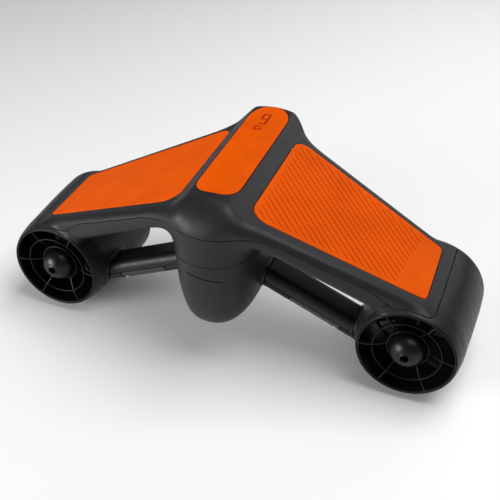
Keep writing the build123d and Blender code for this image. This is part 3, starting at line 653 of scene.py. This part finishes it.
# The cover's line round the duct, by the angle about the duct's axis in degrees.
SIDE_ANGLE = 66.5
MM_PER_DEGREE = 0.98
FRONT_ANGLES = [67, 88, 104, 110, 114, 122, 130]
FRONT_SETBACKS = [3.0, 2.3, 1.3, 0.8, -1.6, -12.0, -200.0]
FRONT_RISES = [0.3, 1.7, 3.6, 5.2, 6.5, 6.5, 6.5]
POD_TOP, POD_BACK = 143.5, -52.0
POD_HALF_WIDTH = 66.0
SLOT_ENDS = np.array([-13.8, -108.1, 132.4]), np.array([21.3, -104.3, 127.1])
SLOT_HALF = 0.35
SCREWS = ((82.0, -52.0), (82.0, 48.0), (138.0, -46.0), (138.0, 40.0))
SCREW_HOLE_R = 2.8
BUTTON_Z, BUTTON_HOLE_R = 152.0, 7.2
LATCH_SLOT_Y, LATCH_SLOT_HALF_X, LATCH_SLOT_HALF_Y = -36, 5.2, 10.2
BORE_EDGE = 50.6
DUCT_MIDDLE = 60
FLANGE = 9.7
GRIP_CLEAR, GRIP_COLLAR, GRIP_COLLAR_TRIM, GRIP_SEAM = 3.5, 16.0, 6.0, -1.5
AWAY = 99.0


def split(p):
    """Distance from the centre plane, and the other two coordinates."""
    return np.abs(p[..., 0]), p[..., 1], p[..., 2]


def least(*values):
    """The smallest of several fields, point by point."""
    result = values[0]
    for value in values[1:]:
        result = np.minimum(result, value)
    return result


def cover_region(p):
    """The top cover's side of its parting line, which leaves the wing to wrap the duct."""
    ax, y, z = split(p)
    above = z - np.interp(ax, SEAM_X, SEAM_Z)
    angle = np.degrees(np.arctan2(z - DUCT_Z, ax - DUCT_X))
    wrap = (np.minimum(angle, 110.0) - SIDE_ANGLE) * MM_PER_DEGREE
    clamped = np.where(angle < -90, 130.0, angle)
    setback = np.interp(clamped, FRONT_ANGLES, FRONT_SETBACKS)
    rise = np.interp(clamped, FRONT_ANGLES, FRONT_RISES)
    rho, s, radius = barrel_parts(ax, y, z)
    front = s - setback + rho - radius - rise
    around = round_min(front, np.where(angle < -90, 40.0, wrap), 9.0)
    return round_min(above, around, 1.5)


def mouth(p):
    """Positive outside the duct's two open ends."""
    rho, s, _ = barrel_parts(*split(p))
    outside = rho - BORE_EDGE
    return np.minimum(np.maximum(s - 0.2, outside), np.maximum(outside, DUCT_MIDDLE - s))


def cover_cut(p):
    """Top cover, with openings under the orange panels."""
    ax, y, z = split(p)
    near_top = z - top_height(ax, y) + 5.0
    holes = np.maximum(centre_inside(p), wing_inside(p))
    return least(cover_region(p), -np.minimum(holes, near_top), mouth(p))


def grip_region(p):
    """Where the grip shows between hull and duct."""
    ax, y, z = split(p)
    rho, _, radius = barrel_parts(ax, y, z)
    free = np.minimum(rho - radius, hull_distance(ax, y, z)) - GRIP_CLEAR
    return np.minimum(free, GRIP_COLLAR - grip_distance(ax, y, z) - GRIP_COLLAR_TRIM)


def housing_region(p):
    """Where the skin lies round the duct."""
    rho, _, radius = barrel_parts(*split(p))
    return radius + FLANGE - rho


def pod_region(p):
    """The lower front corner of the hull."""
    ax, y, z = split(p)
    return least(POD_TOP - z, POD_BACK - y, POD_HALF_WIDTH - ax)


def housing_cut(p):
    """Duct housing, open at both ends."""
    return least(-cover_region(p), -grip_region(p), housing_region(p), mouth(p))


def grip_split(p):
    """Positive above the seam between grip and grip cover."""
    return grip_local(*split(p))[2] - GRIP_SEAM


def grip_cut(p):
    """Upper half of the grip."""
    return least(-cover_region(p), grip_region(p), grip_split(p))


def grip_cover_cut(p):
    """Lower half of the grip, with the trigger's opening."""
    ax, y, z = split(p)
    along, depth, height = grip_local(ax, y, z)
    trigger_opening = least(30.5 - np.abs(along - 1.0), -6.5 - depth, height + 9.4)
    return least(-cover_region(p), grip_region(p), -grip_split(p), -trigger_opening)


def slot_distance(p):
    """Distance from the short slot across the pod's front."""
    start, end = SLOT_ENDS
    width = end[0] - start[0]
    along = (p[..., 0] - start[0]) / width
    level = start[2] + (end[2] - start[2]) * along
    past = np.maximum(np.abs(along - 0.5) - 0.5, 0) * width
    behind = np.maximum(p[..., 1] + 80.0, 0)
    return np.sqrt((p[..., 2] - level) ** 2 + past**2 + behind**2) - SLOT_HALF


def pod_cut(p):
    """Nose pod, with its slot."""
    return least(-cover_region(p), pod_region(p), -grip_region(p), slot_distance(p))


def frame_cut(p):
    """Lower frame: all the skin the other mouldings leave, less its holes."""
    ax, y, z = split(p)
    button = np.where(y > 20, np.hypot(ax, z - BUTTON_Z) - BUTTON_HOLE_R, AWAY)
    latch_slot = np.maximum(ax - LATCH_SLOT_HALF_X, np.abs(y - LATCH_SLOT_Y) - LATCH_SLOT_HALF_Y)
    latch_slot = np.where(z < 70, latch_slot, AWAY)
    holes = [np.hypot(ax - x0, y - y0) - SCREW_HOLE_R for x0, y0 in SCREWS]
    return least(-cover_region(p), -grip_region(p), -housing_region(p), -pod_region(p),
                 button, latch_slot, *holes)


# ---------------------------------------------------------------- body mouldings
def refined(points, faces, near, cuts=5):
    """Splits the quads where near is positive into smaller ones on the same surface."""
    mesh = bmesh.new()
    verts = [mesh.verts.new(v) for v in points]
    for face in faces:
        mesh.faces.new([verts[v] for v in face])
    mesh.verts.index_update()
    close = near(points) > 0
    edges = [e for e in mesh.edges if close[e.verts[0].index] and close[e.verts[1].index]]
    bmesh.ops.subdivide_edges(mesh, edges=edges, cuts=cuts, use_grid_fill=True)
    mesh.verts.index_update()
    fine = np.array([v.co for v in mesh.verts])
    result = [tuple(v.index for v in face.verts) for face in mesh.faces]
    mesh.free()
    return on_surface(fine, body_distance, 2), result


xs, ys, zs, grid = skin_grid()
skin_points, skin_quads = surface_net(xs, ys, zs, grid)
skin_points = relaxed(skin_points, skin_quads, body_distance)
skin = skin_points, [tuple(q) for q in skin_quads.tolist()]
quad_corners = skin_points[skin_quads]
right_faces = skin_quads[(quad_corners[:, :, 0] > 30).all(1)]
right_skin = skin_points, [tuple(q) for q in right_faces.tolist()]

cover = mesh_object("top_cover", moulding(skin, cover_cut, body_distance), "shell")
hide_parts("top_cover")
chassis = mesh_object("lower_frame", moulding(skin, frame_cut, body_distance), "shell")
pod_faces = skin_quads[(pod_region(quad_corners) > -4).all(1)]
used, packed = np.unique(pod_faces, return_inverse=True)
pod_skin = refined(skin_points[used], packed.reshape(-1, 4).tolist(),
                   lambda p: 4.0 - slot_distance(p))
pod_shape = moulding(pod_skin, pod_cut, body_distance, gap=0.12, edge=0.35)
pod = mesh_object("nose_pod", pod_shape, "shell", "battery_pod")
housings = pair("duct_housing", moulding(right_skin, housing_cut, body_distance, wall=1.3), "shell")
grips = pair("grip", moulding(right_skin, grip_cut, body_distance), "grip_black")
grip_covers = pair("grip_cover", moulding(right_skin, grip_cover_cut, body_distance), "grip_black")


# ---------------------------------------------------------------- orange inlays
def lifted(x, y, proud):
    """Points over a plan grid, standing on the body's top."""
    z = top_height(np.abs(x), y)
    p = np.stack([x, y, z], -1)
    for _ in range(4):
        step = np.array([0, 0, 0.05])
        slope = (body_distance(p + step) - body_distance(p - step)) / 0.1
        p[..., 2] -= np.clip(body_distance(p) / np.maximum(slope, 0.4), -2, 2)
    return p + unit(gradient(body_distance, p)) * proud


def grid_faces(rows, columns):
    """Quads of a regular grid."""
    faces = []
    for i in range(rows - 1):
        for j in range(columns - 1):
            a = i * columns + j
            faces.append((a, a + columns, a + columns + 1, a + 1))
    return faces


def facing_up(points, faces):
    """Faces turned so that their normals point up."""
    a, b, c = (points[faces[0][k]] for k in range(3))
    if np.cross(b - a, c - a)[2] < 0:
        faces = [tuple(reversed(face)) for face in faces]
    return faces


def trimmed(points, faces, field, margin):
    """Drops the faces that lie wholly outside a field, before the exact cut."""
    keep = field(points) > -margin
    return [face for face in faces if any(keep[v] for v in face)]


GROOVE_PITCH = 6.25
GROOVE_HALF = 0.95
GROOVE_DEPTH = 0.9
GROOVE_MARGIN = 4.2
GROOVE_ANGLE = math.radians(-40.8)
GROOVE_RUN = np.array([math.cos(GROOVE_ANGLE), math.sin(GROOVE_ANGLE)])
GROOVE_ACROSS = np.array([-GROOVE_RUN[1], GROOVE_RUN[0]])


def groove_field(x, y):
    """How far a point is inside the grooved part of the right inlay."""
    edge = inside_distance(x, y, WING_OUTLINE) - GROOVE_MARGIN
    plain = (184.0 + 0.133 * y) - x
    return np.minimum(edge, plain)


def wing_panel(grooved):
    """The right wing inlay on a grid that follows the grooves."""
    corners = np.array([(30, -90), (218, -90), (218, 75), (30, 75)], float)
    u = corners @ GROOVE_RUN
    v = corners @ GROOVE_ACROSS
    along = np.arange(u.min(), u.max(), 2.2)
    profile = ((-GROOVE_HALF, 0.0), (-GROOVE_HALF * 0.45, 1.0), (GROOVE_HALF * 0.45, 1.0),
               (GROOVE_HALF, 0.0), (GROOVE_PITCH / 2 - GROOVE_HALF * 0.5, 0.0))
    across, depth = [], []
    for k in range(int(v.min() // GROOVE_PITCH), int(v.max() // GROOVE_PITCH) + 1):
        for offset, level in profile:
            across.append(k * GROOVE_PITCH + offset)
            depth.append(level)
    a, b = np.meshgrid(along, across, indexing="ij")
    deep = np.broadcast_to(np.array(depth), a.shape)
    x = (a * GROOVE_RUN[0] + b * GROOVE_ACROSS[0]).ravel()
    y = (a * GROOVE_RUN[1] + b * GROOVE_ACROSS[1]).ravel()
    points = np.stack([x, y, np.zeros_like(x)], -1)
    faces = trimmed(points, grid_faces(len(along), len(across)),
                    lambda p: np.minimum(wing_inside(p), p[..., 0]), 4.0)
    used = np.unique(np.array(faces))
    remap = -np.ones(len(points), int)
    remap[used] = np.arange(len(used))
    faces = [tuple(int(remap[k]) for k in face) for face in faces]
    x, y, deep = x[used], y[used], deep.ravel()[used]
    points = lifted(x, y, 0.1)
    if grooved:
        fade = smooth_step(groove_field(x, y) / 1.6)
        sunk = (GROOVE_DEPTH * deep * fade)[:, None]
        points = points - unit(gradient(body_distance, points)) * sunk
    shape = moulding((points, facing_up(points, faces)), wing_inside, body_distance,
                     gap=0.15, edge=0.4, wall=1.6)
    return shape if not grooved else (shape[0], shape[1], None)


right_panel = mesh_object("right_wing_panel", wing_panel(True), "orange", angle=20)
left_panel = mesh_object("left_wing_panel", mirrored(wing_panel(False)), "orange")
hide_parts("right_wing_panel")
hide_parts("left_wing_panel")

STRIP_GRID = (33, 116)
x, y = np.meshgrid(np.linspace(-24, 24, STRIP_GRID[0]), np.linspace(-78, 106, STRIP_GRID[1]),
                   indexing="ij")
strip_points = lifted(x.ravel(), y.ravel(), 0.1)
strip_faces = trimmed(strip_points, grid_faces(*STRIP_GRID), centre_inside, 3.0)
strip_skin = strip_points, facing_up(strip_points, strip_faces)
strip_shape = moulding(strip_skin, centre_inside, body_distance, gap=0.15, edge=0.4, wall=1.6)
centre = mesh_object("centre_panel", strip_shape, "orange")
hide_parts("centre_panel")


BAR_CELL = 0.7


def bar_inlay(x0, y0, x1, y1):
    """A thin bar of display glass standing a hair proud of the centre strip."""
    nx, ny = int((x1 - x0) / BAR_CELL) + 2, int((y1 - y0) / BAR_CELL) + 2
    x, y = np.meshgrid(np.linspace(x0, x1, nx), np.linspace(y0, y1, ny), indexing="ij")
    x, y = x.ravel(), y.ravel()
    over, under = lifted(x, y, 0.16), lifted(x, y, -0.6)
    faces = facing_up(over, grid_faces(nx, ny))
    count = len(over)
    result = list(faces) + [tuple(count + v for v in reversed(face)) for face in faces]
    for a, b in rim_edges(faces):
        result.append((b, a, count + a, count + b))
    return np.concatenate([over, under]), result


def joined(shapes):
    """Several closed shapes as one, with normals left to the mesh."""
    points, faces, start = [], [], 0
    for p, f in shapes:
        points.append(p)
        faces += [tuple(start + v for v in face) for face in f]
        start += len(p)
    return np.concatenate(points), faces, None


STROKE = 1.7
STROKE_GAP = 0.25


def numeral_bars(x0, y0, x1, y1, bar_y):
    """Five bars: the left one stops at the middle bar, the right one runs the full height."""
    left, right = x0 + STROKE + STROKE_GAP, x1 - STROKE - STROKE_GAP
    return [(x0, bar_y - STROKE / 2, x0 + STROKE, y1), (x1 - STROKE, y0, x1, y1),
            (x0 + 1.0, y0, right, y0 + STROKE), (left, y1 - STROKE, right, y1),
            (left, bar_y - STROKE / 2, right, bar_y + STROKE / 2)]


LEVEL_MARK = [(-5.8, 49.4, -4.3, 58.0), (-4.1, 49.4, 1.8, 50.8), (-4.1, 56.6, 0.2, 58.0),
              (0.7, 51.0, 2.1, 54.0)]
bars = numeral_bars(-5.8, 62, 3.3, 84, 73.0) + LEVEL_MARK
digits = mesh_object("display_digits", joined([bar_inlay(*bar) for bar in bars]), "digit_red")
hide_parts("display_digits")


# ---------------------------------------------------------------- inner plates
PLATE_CELL = 3.0


def plate(origin, across, up, extent, field, thickness, gap=0.0, edge=0.3):
    """A flat moulded plate: a plan grid in its own plane, cut by a field."""
    origin, across, up = (np.array(v, float) for v in (origin, across, up))
    facing = np.cross(across, up)
    a, b = np.meshgrid(*(np.arange(-e, e + 1, PLATE_CELL) for e in extent), indexing="ij")
    points = origin + a.reshape(-1, 1) * across + b.reshape(-1, 1) * up
    faces = trimmed(points, grid_faces(*a.shape), field, 8.0)
    return moulding((points, faces), field, lambda p: ((p - origin) * facing).sum(-1),
                    gap=gap, edge=edge, wall=thickness)


def inside_hull(p):
    """Positive where a plate's edge stays clear of the hull's skin."""
    return -hull_distance(*split(p)) - 2.0


BAY = rounded_outline([(-20.5, 69.5), (20.5, 69.5), (30, 88), (30, 128.5), (-30, 128.5),
                       (-30, 88)], [3.0] * 6)


def bay_wall(room):
    """The hull's section below the pod's top, with an opening for the battery case."""
    return lambda p: least(inside_hull(p), POD_TOP - 1.0 - p[..., 2],
                           -inside_distance(p[..., 0], p[..., 2], BAY) - room)


bulkhead = plate((0, POD_BACK + 0.3, 95), (1, 0, 0), (0, 0, 1), (60, 50), bay_wall(0.6), 2.6)
deck = plate((0, -20, POD_TOP + 0.4), (0, 1, 0), (1, 0, 0), (110, 60), inside_hull, 2.4)
pod_back = plate((0, POD_BACK - 0.4, 95), (-1, 0, 0), (0, 0, 1), (60, 50), bay_wall(-0.2), 2.4)
pod_top = plate((0, -90, POD_TOP - 0.5), (1, 0, 0), (0, 1, 0), (60, 50),
                lambda p: least(inside_hull(p), POD_BACK - 1.0 - p[..., 1]), 2.4)
inner = [mesh_object("frame_bulkhead", bulkhead, "shell"), mesh_object("frame_deck", deck, "shell"),
         mesh_object("pod_back", pod_back, "shell", "battery_pod"),
         mesh_object("pod_top", pod_top, "shell", "battery_pod")]
for piece in [chassis] + inner[:2]:
    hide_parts("lower_frame")
for piece in [pod] + inner[2:]:
    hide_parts("nose_pod")


# ---------------------------------------------------------------- duct parts turned about the axis
def turned(profile, segments=120):
    """A closed ring turned about the right duct's axis from (radius, distance behind the rim)."""
    profile = np.array(profile, float)
    angles = np.arange(segments) * 2 * math.pi / segments
    points = np.stack([
        DUCT_X + profile[None, :, 0] * np.cos(angles)[:, None],
        np.broadcast_to(RIM_Y + profile[None, :, 1], (segments, len(profile))),
        DUCT_Z + profile[None, :, 0] * np.sin(angles)[:, None]], -1).reshape(-1, 3)
    n = len(profile)
    faces = []
    for i in range(segments):
        for j in range(n):
            a, b = i * n + j, i * n + (j + 1) % n
            c, d = ((i + 1) % segments) * n + (j + 1) % n, ((i + 1) % segments) * n + j
            faces.append((a, b, c, d))
    radius, back = profile.T
    area = (np.roll(radius, 1) * back - radius * np.roll(back, 1)).sum() / 2
    if area > 0:
        faces = [tuple(reversed(face)) for face in faces]
    return points, faces


def rounded_ring(inner, outer, front, back, r, steps=3):
    """Profile of a ring with rounded edges."""
    points = []
    for (cx, cy), first in (((outer - r, back - r), 0), ((inner + r, back - r), 90),
                            ((inner + r, front + r), 180), ((outer - r, front + r), 270)):
        for k in range(steps + 1):
            a = math.radians(first + 90 * k / steps)
            points.append((cx + r * math.cos(a), cy + r * math.sin(a)))
    return points


# The liner covers the housing's bore and shows a thin rounded lip at both ends.
LINER_PROFILE = [(50.75, 1.4), (50.65, 0.4), (50.45, -0.05), (50.2, -0.2), (49.95, -0.05),
                 (49.75, 0.4), (49.66, 6.1), (49.0, 6.4), (49.0, 40), (49.0, 80), (49.0, 114),
                 (49.3, 119), (49.9, 126.0), (50.2, 128.6), (50.5, 129.2), (50.9, 129.1),
                 (51.1, 128.4), (51.3, 120), (51.3, 60)]
liners = pair("duct_liner", (*turned(LINER_PROFILE, 144), None), "guard_black", angle=50)
for name, pieces in (("duct_housing", housings), ("grip", grips), ("grip_cover", grip_covers)):
    for side, piece in zip(("right", "left"), pieces):
        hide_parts(f"{side}_{name}")
for side, piece in zip(("right", "left"), liners):
    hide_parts(f"{side}_duct_housing")


SPOKE_PATH = [(48.6, 2.6), (44, 3.0), (39, 3.9), (34.8, 5.2), (30.5, 7.2), (26.5, 9.4),
              (23.8, 11.0), (21.2, 12.2)]
SPOKE_COUNT = 6


def guard_spoke(angle):
    """One guard rib: a rounded bar that dips from the rim ring back to the hub ring."""
    half, deep, r = 0.6, 1.9, 0.3
    section = []
    for cx, cy, first in ((half - r, deep - r, 0), (r - half, deep - r, 90),
                          (r - half, r - deep, 180), (half - r, r - deep, 270)):
        for k in range(3):
            a = math.radians(first + 45 * k)
            section.append((cx + r * math.cos(a), cy + r * math.sin(a)))
    points, faces = [], []
    for radius, s in SPOKE_PATH:
        for across, depth in section:
            points.append((radius, across, s + depth))
    count = len(section)
    for i in range(len(SPOKE_PATH) - 1):
        for j in range(count):
            k = (j + 1) % count
            faces.append((i * count + j, i * count + k, (i + 1) * count + k, (i + 1) * count + j))
    faces.append(tuple(reversed(range(count))))
    faces.append(tuple((len(SPOKE_PATH) - 1) * count + j for j in range(count)))
    radius, across, back = np.array(points).T
    c, s = math.cos(angle), math.sin(angle)
    spots = np.stack([DUCT_X + radius * c - across * s, RIM_Y + back,
                      DUCT_Z + radius * s + across * c], -1)
    return spots, faces


# Inner and outer radius, front, back and edge radius of the rim, middle and hub rings.
GUARD_RINGS = ((47.8, 49.6, 0.2, 6.0, 0.5), (34.3, 35.4, 3.2, 7.2, 0.4),
               (20.3, 21.8, 9.8, 14.4, 0.5))
guard_shapes = [turned(rounded_ring(*ring)) for ring in GUARD_RINGS]
guard_shapes += [guard_spoke(math.radians(360 / SPOKE_COUNT * k)) for k in range(SPOKE_COUNT)]
guards = pair("duct_guard", joined(guard_shapes), "guard_black")
for side, piece in zip(("right", "left"), guards):
    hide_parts(f"{side}_duct_guard")

SPINNER_R, SPINNER_INNER_R = 19.3, 17.1
SPINNER_BASE = 10.5          # where the dome's curve starts, behind the rim
SPINNER_RISE, SPINNER_INNER_RISE = 17.5, 15.0


def dome_arc(radius, rise, angles):
    """Profile points on a quarter ellipse, angles in degrees from the base."""
    return [(radius * math.cos(t), SPINNER_BASE - rise * math.sin(t)) for t in np.radians(angles)]


dome_profile = [(SPINNER_R - 0.4, 13.8), (SPINNER_R, 13.4), (SPINNER_R, SPINNER_BASE)]
dome_profile += dome_arc(SPINNER_R, SPINNER_RISE, np.arange(5, 76, 5))
tip = dome_profile[-1]
dome_profile += [(4.6, tip[1] - 0.35), (4.1, tip[1] + 0.1), (3.9, tip[1] + 2.5)]
dome_profile += dome_arc(SPINNER_INNER_R, SPINNER_INNER_RISE, np.arange(70, 0, -10))
dome_profile += [(SPINNER_INNER_R, 13.8)]
domes = pair("nose_dome", (*turned(dome_profile, 96), None), "spinner", "propeller", angle=60)
for side, piece in zip(("right", "left"), domes):
    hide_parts(f"{side}_nose_dome")


# ---------------------------------------------------------------- floor, light and camera
FLOOR_HALF, FLOOR_CELL, FLOOR_Z = 3.0, 0.25, -0.0005
CAMERA_PLACE = (0.2682, -0.6685, 0.6052)
CAMERA_TURN, CAMERA_RISE = math.radians(21.12), math.radians(35.54)
CAMERA_LENS, CAMERA_SENSOR = 58.04, 36.0
WORLD_LIGHT, WORLD_SEEN = 0.18, 0.9
# Place, target, size and power of each soft light, in metres and watts.
LIGHTS = {
    "key": ((0.6, 0.1, 1.7), (0, 0, 0.1), (1.5, 1.2), 27.0),
    "side": ((-1.2, -1.35, 0.38), (0, 0, 0.1), (0.9, 0.7), 30.0),
    "back": ((0.5, 1.4, 0.8), (0, 0, 0.15), (1.2, 0.4), 4.0),
}


def stage_floor():
    """A plain pale floor."""
    a = np.arange(-FLOOR_HALF, FLOOR_HALF + FLOOR_CELL / 2, FLOOR_CELL)
    x, y = np.meshgrid(a, a, indexing="ij")
    points = np.stack([x.ravel(), y.ravel(), np.full(x.size, FLOOR_Z)], -1)
    data = bpy.data.meshes.new("floor")
    data.from_pydata(points.tolist(), [], facing_up(points, grid_faces(len(a), len(a))))
    floor = bpy.data.objects.new("floor", data)
    bpy.context.scene.collection.objects.link(floor)
    material = bpy.data.materials.new("floor")
    material.use_nodes = True
    tree = material.node_tree
    shader = tree.nodes["Principled BSDF"]
    shader.inputs["Roughness"].default_value = 0.8
    place = tree.nodes.new("ShaderNodeTexCoord").outputs["Object"]
    mix = tree.nodes.new("ShaderNodeMix")
    mix.data_type = "RGBA"
    mix.inputs["A"].default_value = (0.92, 0.92, 0.92, 1)
    mix.inputs["B"].default_value = (0.94, 0.94, 0.94, 1)
    link(tree, noise(tree, place, 3.0), mix.inputs["Factor"])
    link(tree, mix.outputs["Result"], shader.inputs["Base Color"])
    data.materials.append(material)


def area_light(name, place, target, size, power):
    """A rectangular soft light aimed at a target."""
    light = bpy.data.lights.new(name, "AREA")
    light.energy = power
    light.shape = "RECTANGLE"
    light.size, light.size_y = size
    holder = bpy.data.objects.new(name, light)
    bpy.context.scene.collection.objects.link(holder)
    holder.location = place
    holder.rotation_mode = "QUATERNION"
    holder.rotation_quaternion = (Vector(place) - Vector(target)).to_track_quat("Z", "Y")


def studio():
    """Soft lights, and a world that looks paler than the light it gives."""
    world = bpy.data.worlds.new("studio")
    bpy.context.scene.world = world
    world.use_nodes = True
    background = world.node_tree.nodes["Background"]
    background.inputs[0].default_value = (1.0, 1.0, 1.0, 1.0)
    rays = world.node_tree.nodes.new("ShaderNodeLightPath")
    seen = world.node_tree.nodes.new("ShaderNodeMapRange")
    seen.inputs["To Min"].default_value = WORLD_LIGHT
    seen.inputs["To Max"].default_value = WORLD_SEEN
    link(world.node_tree, rays.outputs["Is Camera Ray"], seen.inputs["Value"])
    link(world.node_tree, seen.outputs["Result"], background.inputs[1])
    for name, settings in LIGHTS.items():
        area_light(name, *settings)


def camera():
    """The camera at the photograph's angle."""
    data = bpy.data.cameras.new("camera")
    data.sensor_width = CAMERA_SENSOR
    data.lens = CAMERA_LENS
    holder = bpy.data.objects.new("camera", data)
    bpy.context.scene.collection.objects.link(holder)
    level = math.cos(CAMERA_RISE)
    back = Vector((math.sin(CAMERA_TURN) * level, -math.cos(CAMERA_TURN) * level,
                   math.sin(CAMERA_RISE)))
    holder.location = CAMERA_PLACE
    holder.rotation_mode = "QUATERNION"
    holder.rotation_quaternion = back.to_track_quat("Z", "Y")
    bpy.context.scene.camera = holder


stage_floor()
studio()
camera()
bpy.context.scene.view_settings.view_transform = "Standard"
